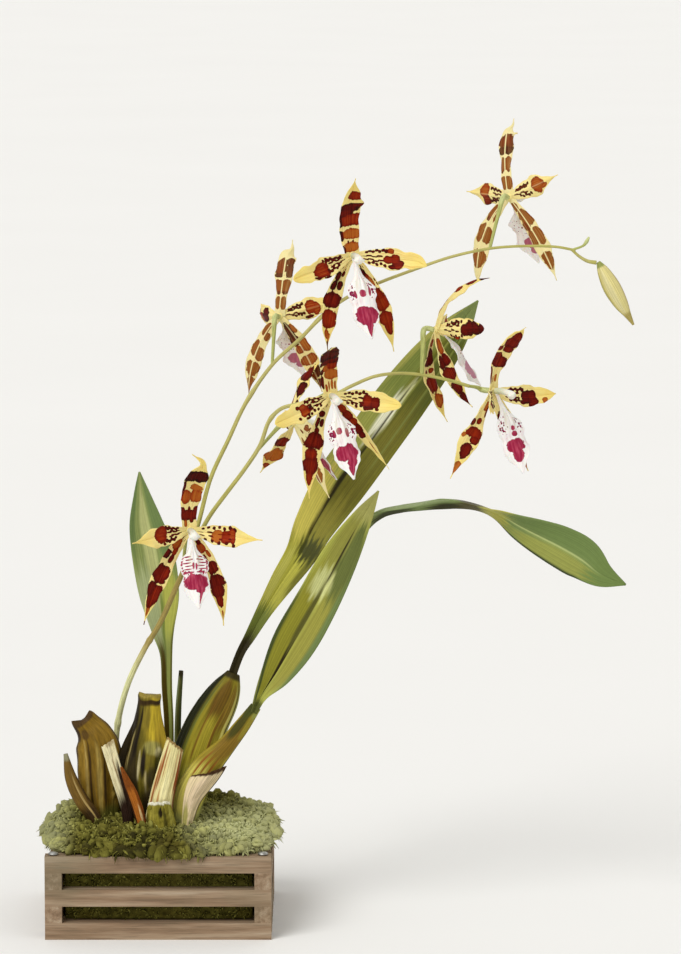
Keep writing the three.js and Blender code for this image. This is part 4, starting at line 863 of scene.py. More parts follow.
# A bloom's own markings, in hundredths. A blotch is place along, across from -100 to 100, half length,
# half width, and tone from 0, nearly black, to 100, orange. Flecks are a soft patch of small spots.
MARKS = {
    "bloom_1_lowest": {
        "dorsal": plain_marks([
            [17, -10, 5.5, 120, 25], [22, -90, 4, 28, 22], [22.5, 0, 4, 22, 22], [22, 85, 4.5, 28, 22],
            [12, 35, 4, 25, 22], [8, -50, 4, 22, 80], [38, -55, 7.5, 40, 72], [40, 50, 8.5, 42, 80],
            [50, -93, 8, 16, 10], [42, -93, 5, 14, 30], [65, 0, 7.5, 105, 0], [69, 50, 5, 50, 0],
            [50, 25, 4, 50, 95]]),
        "petalLeft": petal_marks([
            [49, 20, 10.5, 66, 50], [36, 62, 2.5, 12, 10], [45, -80, 2.5, 12, 10]], 72, -60, 20, 40),
        "petalRight": petal_marks([
            [51, 12, 7, 50, 50], [58, -12, 5, 50, 60], [60, 30, 3.5, 30, 50], [38, 15, 7, 50, 92]],
            -76, 78, 18, 62),
        "sepalLeft": plain_marks([
            [17, 30, 6, 50, 72], [24, -10, 4, 30, 50], [30, 85, 4.5, 42, 8], [32, -15, 5, 28, 20],
            [48, 42, 8, 55, 20], [47, -32, 6.5, 42, 30], [53, 5, 5, 60, 25], [66, 48, 8.5, 45, 18],
            [70, -22, 10, 62, 33], [77, 15, 8, 62, 30], [87, 10, 5, 50, 85], [98, 0, 2, 100, 15]],
            [[10, 0, 8, 90, 90]]),
        "sepalRight": plain_marks([
            [14, 0, 3.5, 40, 8], [20, 15, 5.5, 60, 62], [28, -50, 4, 25, 66], [33, 35, 6, 30, 35],
            [42, -5, 6, 65, 26], [56, 5, 7, 75, 22], [65, 10, 8.5, 60, 25], [75, 15, 7, 45, 35],
            [90, 0, 5, 30, 90]], [[10, 0, 8, 90, 90]]),
        "lip": plain_marks([
            *lip_streaks(1), *lip_streaks(-1), [42, 12, 4.5, 7, 45], [43, -8, 4.5, 7, 40],
            [50, 75, 2, 10, 10], [52, 35, 2, 10, 15], [49, -40, 2, 12, 15], [51, -65, 2, 10, 15],
            [57, 93, 2, 9, 10], [63, 0, 10, 72, 30], [73, -30, 5, 30, 30], [82, -36, 12, 18, 25]],
            [[50, 50, 5, 40, 100], [50, -50, 5, 40, 100]]),
    },
    "bloom_2_upper": {
        "dorsal": plain_marks([
            [10, 5, 5.5, 75, 88], [16, -35, 1.6, 10, 10], [16, 30, 1.6, 10, 10], [7, -95, 6, 14, 5],
            [25, 20, 6, 82, 84], [24, -90, 6.5, 22, 5], [42, 15, 7.5, 100, 52], [42, -92, 8, 20, 4],
            [57, -15, 6, 75, 10], [60, 75, 2.8, 70, 15], [52, -40, 5, 60, 20], [74, 42, 6, 62, 45]]),
        "petalLeft": petal_marks([
            [53, -15, 11.5, 55, 52], [56, 20, 5, 35, 50], [62, -78, 6, 15, 8], [47, -95, 5, 12, 8],
            [43, 50, 2, 14, 10], [47, 65, 2, 14, 10]], 66, -50, 20, 42),
        "petalRight": petal_marks([
            [48, 10, 7, 30, 45], [57, 5, 6, 40, 40], [62, 50, 7.5, 34, 30], [54, 70, 6, 20, 10],
            [50, -72, 4.5, 24, 60]], -78, 70, 18, 44),
        "sepalLeft": plain_marks([
            [25, 45, 4.5, 38, 6], [21, -30, 3, 24, 10], [35, 50, 4.5, 34, 4], [33, -40, 4.5, 28, 6],
            [49, 10, 7.5, 84, 24], [68, 3, 9, 82, 50], [83, 25, 4.5, 42, 70], [87, -30, 4.5, 35, 80],
            [95, 0, 5, 70, 10]], [[12, 0, 10, 90, 80]]),
        "sepalRight": plain_marks([
            [20, 35, 6, 45, 8], [27, 20, 7, 50, 60], [30, -15, 6, 32, 80], [30, -80, 1.8, 10, 10],
            [34, -85, 1.8, 10, 10], [45, 2, 7.5, 76, 42], [52, -15, 7.5, 72, 50], [68, -8, 7, 70, 48],
            [76, -12, 8, 52, 42]], [[10, 0, 8, 90, 90]]),
        "lip": plain_marks([
            [43, 50, 5, 10, 10], [43, 2, 4.5, 22, 35], [42, -50, 6, 10, 20], [71, -5, 11, 66, 30],
            [63, 30, 5, 30, 30], [88, -15, 9, 32, 25]], [[40, 70, 12, 30, 130], [38, -65, 13, 34, 130]]),
    },
    "bloom_4_centre": {
        "dorsal": plain_marks([
            [11, -45, 5, 16, 70], [13, -5, 6, 14, 80], [14, 35, 7, 15, 85], [13, 72, 6, 14, 75],
            [20, -85, 10, 20, 12], [29, 25, 7.5, 60, 92], [40, -40, 5, 30, 80], [42, 35, 5, 55, 50],
            [36, -85, 6, 22, 8], [50, 5, 4.5, 95, 14], [64, 0, 11, 100, 3], [82, 0, 10, 100, 4]]),
        "petalLeft": petal_marks([
            [50, 32, 5, 30, 60], [47, -12, 7.5, 42, 58], [46, -85, 5, 12, 10], [60, -55, 3, 15, 10],
            [58, 50, 3, 20, 20], [36, 0, 3, 20, 6], [26, -20, 2.8, 20, 6], [30, 45, 3, 20, 6]],
            72, -60, 16, 44),
        "petalRight": petal_marks([
            [52, 5, 7, 48, 42], [63, 12, 7, 42, 28], [55, 75, 7, 20, 10], [67, 75, 3, 15, 10]],
            -68, 60, 20, 50),
        "sepalLeft": plain_marks([
            [19, 10, 3, 50, 15], [28, 42, 4.5, 30, 12], [27, -42, 4, 26, 10], [35, 5, 2.5, 30, 20],
            [45, 8, 7.5, 80, 28], [58, 10, 5, 50, 40], [69, 5, 8.5, 78, 30], [81, 10, 6.5, 55, 45]],
            [[12, 0, 10, 90, 70]]),
        "sepalRight": plain_marks([
            [17, 5, 6, 60, 50], [27, 10, 6, 72, 35], [36, 5, 4.5, 60, 50], [45, 10, 5.5, 70, 22],
            [53, 15, 3.5, 50, 20], [78, 0, 16, 22, 100]], [[10, 0, 8, 90, 90]]),
        "lip": plain_marks([
            [41, 55, 5, 10, 10], [39, 20, 4, 18, 35], [42, -30, 6, 14, 20], [66, 10, 9, 58, 30],
            [67, -30, 11, 38, 28], [79, -28, 6, 36, 30], [88, -20, 7, 35, 30]],
            [[40, 75, 13, 30, 130], [40, -70, 13, 35, 130]]),
    },
    "bloom_7_end": {
        "dorsal": plain_marks([
            [17, 30, 5, 20, 88], [15, -40, 4.5, 16, 85], [20, -92, 11, 18, 20], [38, 5, 7.5, 82, 28],
            [46, -50, 5, 50, 30], [57, -75, 3.5, 30, 28], [57, 30, 4.5, 50, 30], [68, 20, 8, 74, 28],
            [79, 30, 7, 60, 30]]),
        "petalRight": petal_marks([
            [53, 10, 7, 50, 15], [62, 5, 6, 45, 22], [65, 68, 7, 35, 20], [47, 65, 4, 20, 10],
            [82, 70, 4, 30, 85]], -62, 62, 24, 46),
        "petalLeft": petal_marks([[50, 10, 8, 60, 30]], 70, -60),
        "sepalLeft": plain_marks([
            [17, -30, 5, 30, 78], [22, -80, 7, 22, 28], [37, 80, 3.5, 30, 20], [34, -10, 3.5, 32, 40],
            [47, -5, 5.5, 72, 42], [54, -50, 4, 35, 30], [53, 80, 3, 20, 85], [68, -10, 8.5, 50, 25],
            [88, 0, 7, 80, 100], [93, 30, 2, 30, 30]], [[10, 0, 8, 90, 80], [85, 0, 8, 80, 70]]),
        "sepalRight": plain_marks([[31, 15, 7.5, 75, 20], [55, 0, 8, 70, 30], [92, 0, 6, 80, 85]]),
        "lip": plain_marks([
            [43, -5, 3, 15, 30], [50, -10, 3.5, 25, 50], [64, 0, 8, 52, 35], [77, -5, 8, 36, 30]],
            [[40, -60, 13, 40, 120], [38, 60, 13, 40, 120]]),
    },
    "bloom_6_side": {
        "dorsal": plain_marks([
            [30, 35, 20, 30, 60], [58, 30, 7, 50, 50], [76, 0, 7, 60, 30], [93, 0, 6, 90, 10]]),
        "petalLeft": petal_marks([
            [62, -10, 8, 45, 14], [72, 10, 8, 60, 12], [84, 0, 8, 75, 12], [97, 0, 6, 150, 10],
            [45, -90, 5, 14, 50]], 62, -78, 26, 54),
        "sepalLeft": plain_marks([
            [20, 0, 9, 60, 75], [39, 45, 8, 42, 15], [36, -45, 7, 36, 20], [54, -5, 8, 70, 30],
            [72, 10, 8, 66, 20], [88, 0, 8, 80, 15]]),
        "sepalRight": plain_marks([
            [14, 0, 4, 50, 60], [29, 0, 9, 76, 20], [43, -50, 3, 30, 60], [43, 50, 2.5, 20, 30],
            [57, -10, 9, 74, 36], [76, -10, 7, 66, 75]]),
        "lip": plain_marks([[66, 0, 10, 60, 90], [80, 0, 6, 40, 90]], [[40, 0, 14, 80, 90]]),
    },
    "bloom_5_behind": {
        "dorsal": plain_marks([
            [25, -70, 10, 30, 10], [50, -50, 12, 40, 10], [40, 60, 12, 30, 50], [75, 0, 12, 80, 20]]),
        "petalRight": plain_marks([[70, 60, 14, 45, 10], [40, 10, 6, 30, 50]]),
        "sepalRight": plain_marks([[36, 0, 9, 80, 30], [61, 0, 12, 80, 90], [84, 0, 5, 70, 60]]),
        "sepalLeft": plain_marks([[35, 30, 15, 25, 90], [45, -40, 10, 25, 85], [70, 0, 10, 50, 85]]),
    },
    "bloom_3_turned_away": {
        "dorsal": plain_marks([
            [16, -48, 8, 40, 80], [16, 42, 8, 40, 80], [36, -48, 9, 45, 70], [36, 42, 9, 45, 70],
            [29, -50, 2.5, 34, 10], [29, 40, 2.5, 30, 10], [50, 45, 3, 38, 5], [61, 42, 12, 48, 35],
            [57, -62, 9, 32, 10], [68, -55, 5, 32, 12]]),
        "lip": plain_marks([[68, 0, 8, 50, 72], [80, 10, 4, 30, 72]], [[42, 0, 14, 90, 110]]),
        "petalLeft": petal_marks([
            [55, 10, 9, 50, 60], [65, -20, 6, 50, 62], [50, -75, 8, 15, 8]], 60, -40, 18, 42),
        "petalRight": plain_marks([[35, 0, 10, 60, 10], [55, 30, 10, 40, 60], [70, -30, 6, 30, 20]]),
        "sepalLeft": plain_marks([
            [20, -30, 10, 50, 2], [33, -35, 6, 50, 5], [20, 60, 6, 30, 80], [42, 52, 9, 40, 80],
            [45, -40, 5, 35, 60], [60, 0, 6, 75, 72], [75, 45, 7, 40, 12], [76, -30, 8, 40, 65],
            [90, 30, 6, 60, 20]]),
        "sepalRight": plain_marks([
            [20, -35, 8, 42, 75], [28, 45, 5, 35, 70], [45, -40, 8.5, 40, 75], [50, 48, 8, 40, 75],
            [68, 10, 7.5, 70, 78], [88, 20, 10, 70, 80]]),
    },
    "bloom_8_top": {
        "lip": plain_marks([[68, 0, 7, 42, 70], [80, 10, 4, 30, 75]], [[42, 0, 14, 90, 110]]),
        "dorsal": plain_marks([
            [16, 45, 7.5, 44, 80], [16, -42, 7.5, 42, 80], [38, 45, 8.5, 48, 75], [38, -42, 8.5, 46, 75],
            [30, 60, 2, 24, 10], [30, -60, 2, 24, 10], [55, 45, 5, 44, 0], [55, -42, 5, 42, 0],
            [67, 0, 8, 90, 30]]),
        "petalRight": petal_marks([[55, -30, 10, 50, 70], [50, 50, 8, 40, 30]], -70, 60, 18, 40),
        "petalLeft": petal_marks([[60, 0, 11, 60, 72], [70, -50, 6, 30, 66]], 50, -55, 18, 42),
        "sepalLeft": plain_marks([
            [12, -30, 5, 50, 80], [27, 10, 10, 70, 82], [35, -40, 6, 40, 30], [50, 42, 10, 42, 85],
            [50, -45, 9, 35, 80], [78, 5, 10, 70, 85]]),
        "sepalRight": plain_marks([
            [25, -45, 10, 40, 80], [25, 50, 9, 25, 80], [50, -50, 10, 35, 80], [50, 40, 9, 40, 78],
            [33, -40, 3, 30, 20], [77, 0, 9, 75, 82]]),
    },
}

# Markings that every bloom carries unless it has its own.
PETAL_MARKS = plain_marks([
    [62, 0, 11, 62, 50], [42, 35, 7, 30, 40], [28, -40, 6, 22, 30]], [[30, 0, 20, 90, 100]])
SEPAL_MARKS = plain_marks([
    [20, 0, 7, 70, 10], [42, 10, 8, 72, 30], [66, 0, 11, 66, 35], [84, 0, 5, 50, 85]], [[10, 0, 8, 80, 90]])
DORSAL_MARKS = plain_marks([
    [12, 0, 7, 80, 90], [32, 10, 9, 85, 40], [52, -10, 6, 50, 80], [74, 0, 10, 85, 8]], [[5, 0, 5, 80, 90]])
KIND_MARKS = {"dorsal": DORSAL_MARKS, "petalRight": PETAL_MARKS, "petalLeft": PETAL_MARKS,
              "sepalRight": SEPAL_MARKS, "sepalLeft": SEPAL_MARKS}
LIP_MARKS = plain_marks([
    [74, 0, 13, 60, 30], [90, 0, 7, 50, 30], [30, 55, 5, 10, 30], [30, -55, 5, 10, 30], [40, 70, 4, 8, 30],
    [40, -70, 4, 8, 30]], [[42, 0, 12, 80, 90]])


def seat():
    s = np.linspace(0, 1, 12)
    depth = -SEAT_BACK + (SEAT_FRONT + SEAT_BACK) * s
    radius = SEAT_RADIUS * np.clip(np.sin(math.pi * (0.12 + 0.76 * s)) ** 0.5, 0.1, 1)
    centres = np.stack([0 * s, 0 * s, depth], axis=-1)
    right = np.tile([1.0, 0, 0], (12, 1))
    away = np.tile([0, 1.0, 0], (12, 1))
    reach = radius[:, None] * np.ones(24)
    values = {"mark": -BLOTCH_REACH, "tone": 0.5, "fleck": 0.0, "front": 1.0, "along": 0.0,
              "round_x": 0.0, "round_y": 0.0}
    return tube(centres, right, away, reach, reach, values)


def bloom_turn(bloom):
    """The turn from a bloom's own frame, +X right, +Y up and +Z to its viewer, to the plant's frame."""
    c, s = math.cos(math.radians(bloom["yaw"])), math.sin(math.radians(bloom["yaw"]))
    yaw = np.array([[c, -s, 0], [s, c, 0], [0, 0, 1]])
    return yaw @ np.array([[1, 0, 0], [0, 0, -1], [0, 1, 0]])


def tepals(name, bloom, look):
    skins = [seat()]
    for kind_name in TEPAL_KINDS:
        own = SHAPES.get(name, {}).get(kind_name, {})
        marks = MARKS.get(name, {}).get(kind_name, KIND_MARKS[kind_name])
        steps = TURNED_AWAY_STEPS if bloom["yaw"] > TURNED_AWAY else TEPAL_STEPS
        skins.append(tepal(kind_name, bloom[kind_name], own, marks, *steps))
    skins = [skin.moved(bloom_turn(bloom), bloom["at"]) for skin in skins]
    piece(f"{name}_tepals_fine", skins, [look], f"{name}_tepals")


def lip_turn(tilt, lift):
    c, s = math.cos(math.radians(tilt)), math.sin(math.radians(tilt))
    spin = np.array([[c, -s, 0], [s, c, 0], [0, 0, 1]])
    c, s = math.cos(math.radians(-lift)), math.sin(math.radians(-lift))
    return spin @ np.array([[1, 0, 0], [0, c, -s], [0, s, c]])


def lip_grid(pose, rows=72, columns=40):
    tilt, lift, twist, share = pose
    stations = np.array(LIP_STATIONS, float)
    base = np.array([0, stations[0, 1], stations[0, 0]])
    turn = lip_turn(tilt, lift)
    places = np.stack([0 * stations[:, 0], stations[:, 1], stations[:, 0]], axis=-1) - base
    table = np.concatenate([places * share @ turn.T + base, stations[:, 2:]], axis=1)
    s = np.linspace(0, 1, rows + 1)
    t = np.linspace(-1, 1, columns + 1)
    blended = blend(table, s)
    tangent = tangents(table, s)
    side = turned(np.tile(turn @ [-1.0, 0, 0], (rows + 1, 1)), tangent, twist * s)
    normal = np.cross(side, tangent)
    half = np.maximum(blended[:, 3], 0.3)
    frill = 1 + 0.035 * np.sin(61 * s[:, None] + 2 * np.sign(t)) * np.abs(t) ** 3
    fold = math.radians(LIP_FOLD)
    wave = 0.9 * np.sin(19 * s[:, None] + 1.3 * np.sign(t)) * np.abs(t) ** 2.5
    wave = wave * smooth(half, 1.5, 5)[:, None]
    crest = 1.1 * np.exp(-(((np.abs(t) - 0.16) / 0.1) ** 2))
    crest = crest * patches(s, 0 * s, [[0.3, 0, 0.12, 1, 1]])[:, None]
    lift_up = soft_fold(t) * half[:, None] * math.sin(fold) + wave + crest
    grid = (blended[:, None, :3] + side[:, None] * (t * half[:, None] * math.cos(fold) * frill)[..., None]
            + normal[:, None] * lift_up[..., None])
    return grid, s, t, half


def lip_blade(pose, marks):
    grid, s, t, half = lip_grid(pose)
    thickness = LIP_THICKNESS / 2 * (0.3 + 0.7 * np.sqrt(1 - 0.9 * t ** 2)) * np.ones_like(s)[:, None]
    along, across = s[:, None] + 0 * t, t + 0 * s[:, None]
    values = {"along": along, "across": across, "round_x": across, "round_y": 0 * across,
              "crest": patches(along, across, [[0.3, 0.3, 0.12, 0.12, 0.6], [0.3, -0.3, 0.12, 0.12, 0.6]])}
    values.update(marking(along, across, marks))
    return sheet(grid, thickness, values)


def column():
    table = [[0, up, forward, radius] for forward, up, radius in COLUMN_STATIONS]
    s = np.linspace(0, 1, 40)
    blended = blend(table, s)
    tangent = tangents(table, s)
    right = np.tile([1.0, 0, 0], (40, 1))
    away = np.cross(tangent, right)
    angle = np.arange(32) / 32 * 2 * math.pi
    closing = np.sqrt(np.clip((1.02 - s) / 0.1, 0.02, 1))
    wing_share = 0.5 * patches(s, 0 * s, [[0.8, 0, 0.12, 1, 1]])[:, None]
    wings = 1 + wing_share * np.exp(-(np.sin(angle) / 0.3) ** 2)
    reach = (blended[:, 3] * closing)[:, None] * wings
    depth = (blended[:, 3] * closing)[:, None] * np.ones(32)
    green = patches(s, 0 * s, [[0.1, 0, 0.3, 1, 0.7]])[:, None]
    return tube(blended[:, :3], right, away, reach, depth, {"green": green, "along": s[:, None]}, look=1)


def lip(name, bloom, looks):
    marks = MARKS.get(name, {}).get("lip", LIP_MARKS)
    blade = lip_blade(bloom["lip"], marks)
    skins = [skin.moved(bloom_turn(bloom), bloom["at"]) for skin in (blade, column())]
    piece(f"{name}_lip_fine", skins, looks, f"{name}_lip")


STEM_PAINT = [(184, 178, 100), [[50, 0, 30, 100, (192, 184, 114)]]]
FOOT_PAINT = [(180, 160, 98), [[15, 0, 40, 100, (222, 222, 164)], [80, 0, 20, 100, (160, 142, 80)]]]
OVARY_PAINT = [(180, 184, 108), [[85, 0, 35, 200, (200, 206, 140)]]]


def stem_tube(stations, rows, sides=16, ribs=0, rib_depth=0.0, swell=(), paint=STEM_PAINT):
    s = np.linspace(0, 1, rows + 1)
    blended = blend(stations, s)
    tangent = tangents(stations, s)
    across = np.zeros((rows + 1, 3))
    across[0] = unit(np.cross(tangent[0], FRONT))
    for i in range(1, rows + 1):
        across[i] = unit(across[i - 1] - tangent[i] * across[i - 1].dot(tangent[i]))
    away = np.cross(tangent, across)
    angle = np.arange(sides) / sides * 2 * math.pi
    radius = blended[:, 3] * (1 + patches(s, 0 * s, [[place, 0, 0.012, 1, 0.22] for place in swell]))
    reach = radius[:, None] * (1 + rib_depth * np.cos(ribs * angle))
    along = s[:, None] + 0 * angle
    all_values = {"along": along * rows / 60,
                  "round_x": np.cos(angle)[None], "round_y": np.sin(angle)[None]}
    all_values.update(painted(along, 0 * along, *paint))
    return tube(blended[:, :3], across, away, reach, reach, all_values)


def bloom_stalk(bloom, stout):
    facing = bloom_turn(bloom) @ [0, 0, 1]
    at, start = np.array(bloom["at"], float), np.array(bloom["stalk"], float)
    end = at - facing * (SEAT_BACK + GAP)
    ovary = at - facing * OVARY_REACH
    middle = start + (ovary - start) * 0.6 + [0, 0, 0.5]
    table = [[*start, PEDICEL_RADIUS * stout], [*middle, (PEDICEL_RADIUS + 0.2) * stout],
             [*ovary, OVARY_RADIUS], [*end, OVARY_RADIUS]]
    return stem_tube(table, 60, 18, ribs=6, rib_depth=0.08, paint=OVARY_PAINT)


def flower_stem(look):
    skins = [stem_tube(PEDUNCLE, 180, 20, swell=(0.3, 0.62), paint=FOOT_PAINT),
             stem_tube(UPPER_BRANCH, 240, 18, swell=(0.28, 0.45)),
             stem_tube(LOWER_BRANCH, 200, 18, swell=(0.35, 0.6)), stem_tube(BUD_STALK, 24, 14),
             stem_tube(TIP_BUD, 24, 14, paint=OVARY_PAINT)]
    skins += [bloom_stalk(bloom, STOUT_STALKS.get(name, 1)) for name, bloom in BLOOMS.items()]
    piece("flower_stem_fine", skins, [look], "flower_stem")


def bulb(name, seed):
    """A ribbed bulb with furrows. Its front is across 0, and its left and right edges are -0.5 and 0.5."""
    shape = BULBS[name]
    stations = shape["stations"]
    rows, sides = shape.get("steps", (96, 96))
    s = np.linspace(0, 1, rows + 1)
    blended = blend(stations, s)
    tangent = tangents(stations, s)
    right = unit(np.cross(tangent, FRONT))
    away = np.cross(tangent, right)
    angle = np.arange(sides) / sides * 2 * math.pi
    along = s[:, None] + 0 * angle
    across = np.mod(angle / math.pi - 0.5, 2) - 1 + 0 * along
    rib_share = shape["ribDepth"] * np.sin(math.pi * np.minimum(s + 0.1, 1))[:, None]
    rib = 1 + rib_share * np.cos(shape["ribs"] * angle + shape["ribPhase"] + s[:, None])
    draw = np.random.default_rng(seed)
    phase = draw.uniform(0, 6, 3)
    bend = 0.5 * np.sin(3 * s[:, None] + phase[0]) + 0.3 * np.sin(2 * angle + phase[1])
    fine = np.abs(np.sin(shape["furrows"] / 2 * angle + bend + phase[2])) ** 0.6 - 0.6
    rib = rib + shape["furrow"] * fine * np.sin(math.pi * np.clip(s * 0.94 + 0.05, 0, 1))[:, None]
    rings = np.stack([np.cos(angle) + 0 * along, np.sin(angle) + 0 * along, 4 * along], axis=-1)
    rib = rib + shape.get("wobble", 0) * lumps(rings, 1.6, seed)
    rib = rib + patches(along, across, shape.get("knobs", ()))
    reach = blended[:, 3:4] * rib
    values = {"along": along, "round_x": np.cos(angle)[None], "round_y": np.sin(angle)[None]}
    values.update(painted(along, across, *PAINT[name]))
    skin = tube(blended[:, :3], right, away, reach, reach * shape["flat"], values)
    horns = [[1, place, 0.09, wide, height] for place, wide, height in shape.get("horns", ())]
    lift = patches(along, across, horns)
    skin.points[:lift.size] += lift.reshape(-1, 1) * tangent[-1]
    return skin


def leaf_grid(stations, rows, columns):
    s = np.linspace(0, 1, rows + 1)
    t = np.linspace(-1, 1, columns + 1)
    blended = blend(stations, s)
    tangent = tangents(stations, s)
    side = turned(unit(np.cross(tangent, FRONT)), tangent, blended[:, 4])
    normal = np.cross(side, tangent)
    if blended.shape[1] > 6:
        side = turned(side, normal, blended[:, 6])
    half = np.maximum(blended[:, 3], 0.35)
    fold = np.radians(blended[:, 5])
    grid = (blended[:, None, :3] + side[:, None] * (t * (half * np.cos(fold))[:, None])[..., None]
            + normal[:, None] * (soft_fold(t) * (half * np.sin(fold))[:, None])[..., None])
    return grid, s[:, None] + 0 * t, t + 0 * s[:, None], half, normal


def leaf(name, look, seed, rows=150, columns=30):
    grid, along, across, half, normal = leaf_grid(LEAVES[name], rows, columns)
    wide = smooth(half, 3, 9)[:, None]
    wave = 0.45 * lumps(np.stack([along * 9, across * 0.8, 0 * along], axis=-1), 3.0, seed)
    wave = wave * np.abs(across) ** 1.5
    grid = grid + normal[:, None] * (wave * wide)[..., None]
    keel = 0.55 * np.exp(-(across / 0.08) ** 2) * smooth(half, 1.5, 5)[:, None]
    thickness = LEAF_THICKNESS / 2 * (0.3 + 0.7 * np.sqrt(1 - 0.92 * across ** 2)) + 0 * keel
    grid = grid - normal[:, None] * (keel * 0.6)[..., None]
    values = {"along": along, "round_x": across, "round_y": 0 * across}
    hatch = 0.012 * np.sin(23 * across + 40 * along) + 0.008 * np.sin(57 * across)
    values.update(painted(along + hatch, across, *PAINT[name]))
    piece(f"{name}_fine", [sheet(grid, thickness, values)], [look], name)


def sheath(name, look, seed, rows=64, columns=40):
    """A dry sheath with pleats, whose top is torn in teeth and cut aslant."""
    shape = SHEATHS[name]
    grid, along, across, half, normal = leaf_grid(shape["stations"], rows, columns)
    tangent = unit(np.gradient(grid, axis=0))
    draw = np.random.default_rng(seed)
    teeth = sum(np.abs(np.sin(k * across * 5 + draw.uniform(0, 6))) / k for k in (1, 2.3, 4.1))
    tear = (shape["torn"] * (teeth - 1.2) - shape["cut"] * across) * smooth(along, 0.55, 1)
    grid = grid + tangent * tear[..., None]
    crumple = 0.35 * lumps(np.stack([along * 5, across * 2, 0 * along], axis=-1), 1.2, seed)
    pleat = 0.22 * np.abs(np.sin(9 * across + draw.uniform(0, 6)))
    grid = grid + normal[:, None] * (crumple + pleat)[..., None]
    thickness = shape["thickness"] / 2 * (0.35 + 0.65 * np.sqrt(1 - 0.9 * across ** 2))
    values = {"along": along, "round_x": across, "round_y": 0 * across}
    values.update(painted(along + 0.008 * np.sin(19 * across + seed), across, *PAINT[name]))
    piece(f"{name}_fine", [sheet(grid, thickness, values)], [look], name)


def moss_height(y):
    return MOSS_FRONT_HEIGHT + MOSS_BACK_RISE * smooth(y, -25, 35)


def moss_bump(x, y, climb):
    coarse = np.sin(0.31 * x + 15.3 * climb) * np.cos(0.27 * y)
    return MOSS_BUMP * (coarse + 0.6 * np.sin(0.6 * x - 0.5 * y + 3 * climb))


# Rings of the moss: half size, corner roundness, and height, or how far it has climbed to the top.
MOSS_WALL = [[53.6, 0.05, height] for height in np.linspace(9.9, 47.8, 24)] + [[62.5, 0.45, 47.8]]
MOSS_MOUND = [[66, 0.5, 0.12], [61.5, 0.52, 0.42], [50.5, 0.6, 0.78], [37.5, 0.7, 0.95], [21.5, 1, 1],
              [8, 1, 1], [0.5, 1, 1]]


def moss_ring(rows, sides):
    angle = np.arange(sides) / sides * 2 * math.pi + math.pi / 4
    c, s = np.cos(angle), np.sin(angle)
    half, roundness = rows[:, :1], rows[:, 1:2]
    square = half / np.maximum(np.abs(c), np.abs(s))
    reach = np.minimum(square, half * (1.414 - 0.2 * roundness)) * (1 - roundness) + half * roundness
    return reach * c, reach * s


def moss_skin(sides=300, rows=110):
    wall = np.array(MOSS_WALL)
    x, y = moss_ring(wall, sides)
    wall_rings = np.stack([x, y, wall[:, 2:3] + 0 * x], axis=-1)
    mound = blend(MOSS_MOUND, np.linspace(0, 1, rows))
    x, y = moss_ring(mound, sides)
    climb = mound[:, 2:3]
    bump = moss_bump(x, y, climb)
    spread = 1 + 0.012 * bump
    rim = RIM_HEIGHT + GAP + 0.6
    z = rim + (moss_height(y) - rim) * climb + np.where(climb > 0.2, bump * 0.6, 0)
    mound_rings = np.stack([x * spread, y * spread, z], axis=-1)
    rings = np.concatenate([wall_rings, mound_rings])
    lump = 1.3 * lumps(rings, 11, 4) + 0.8 * lumps(rings, 4, 5)
    outward = unit(rings * [1, 1, 0] + [0, 0, 30])
    rings = rings + outward * (lump * smooth(rings[..., 2], 44, 50))[..., None]
    return rings, lump


def moss(look):
    rings, lump = moss_skin()
    rows, sides = rings.shape[:2]
    faces = grid_faces(rows, sides, wrap=True).tolist()
    faces.append(list(range(sides))[::-1])
    faces.append([(rows - 1) * sides + k for k in range(sides)])
    shade = 0.6 * lumps(rings, 5, 9)
    # Below the rim the moss wall, seen only between the sticks, gets a darker tone: painted shade inside the
    # basket.
    tone = np.clip(np.where(rings[..., 2] > 47.9, 0.42 + 0.16 * lump, 0.3 + 0.3 * shade), 0, 1)
    bed = Skin(rings.reshape(-1, 3), faces, {"tone": tone.reshape(-1), "sea": moss_sea(rings).reshape(-1)})
    skins = [bed, moss_tufts(rings), moss_lobes(rings), moss_slots()]
    piece("moss_fine", skins, [look], "moss_bed")


def moss_sea(points):
    """Where the moss is a pale sea green: a soft mound at the right of the front, and both ends."""
    x, y = points[..., 0], points[..., 1]
    mound = 1.3 - np.hypot((x - 46) / 30, (y + 30) / 44)
    left = 0.6 * smooth(x, -44, -62)
    right = 0.85 * smooth(x, 34, 58)
    return np.clip(np.maximum(np.maximum(mound, left), right), 0, 1) * smooth(points[..., 2], 40, 48)


def moss_dark(points):
    """Where the moss is darkest: the clumps that hang over the front rim, left of the middle."""
    x, y = points[..., 0], points[..., 1]
    return np.exp(-((x + 16) / 36) ** 2) * smooth(y, -38, -54)


def spikes(base, direction, length, radius, tone, draw):
    """Pointed leaflets: a three-sided stalk at each base point, which ends in a tip."""
    count = len(base)
    right = unit(np.cross(direction, draw.normal(size=(count, 3))))
    away = np.cross(direction, right)
    sag = np.stack([0 * length, 0 * length, -0.16 * length], axis=-1)
    corners_of = []
    for share, width in ((-0.12, 0.8), (0.45, 1.0)):
        centre = base + direction * (length * share)[:, None] + sag * max(share, 0) ** 2
        for k in range(3):
            angle = k / 3 * 2 * math.pi
            spoke = right * math.cos(angle) + away * 0.5 * math.sin(angle)
            corners_of.append(centre + spoke * (radius * width)[:, None])
    points = np.stack(corners_of + [base + direction * length[:, None] + sag], axis=1)
    start = np.arange(count)[:, None] * 7
    faces = []
    for k in range(3):
        after = (k + 1) % 3
        faces += (start + [k, after, 3 + after, 3 + k]).tolist()
        faces += (start + [3 + k, 3 + after, 6]).tolist()
    faces += (start + [2, 1, 0]).tolist()
    shade = np.clip(tone[:, None] + np.array([-0.2] * 3 + [0.05] * 3 + [0.24]), 0, 1).reshape(-1)
    flat = points.reshape(-1, 3)
    return Skin(flat, faces, {"tone": shade, "sea": moss_sea(flat)})


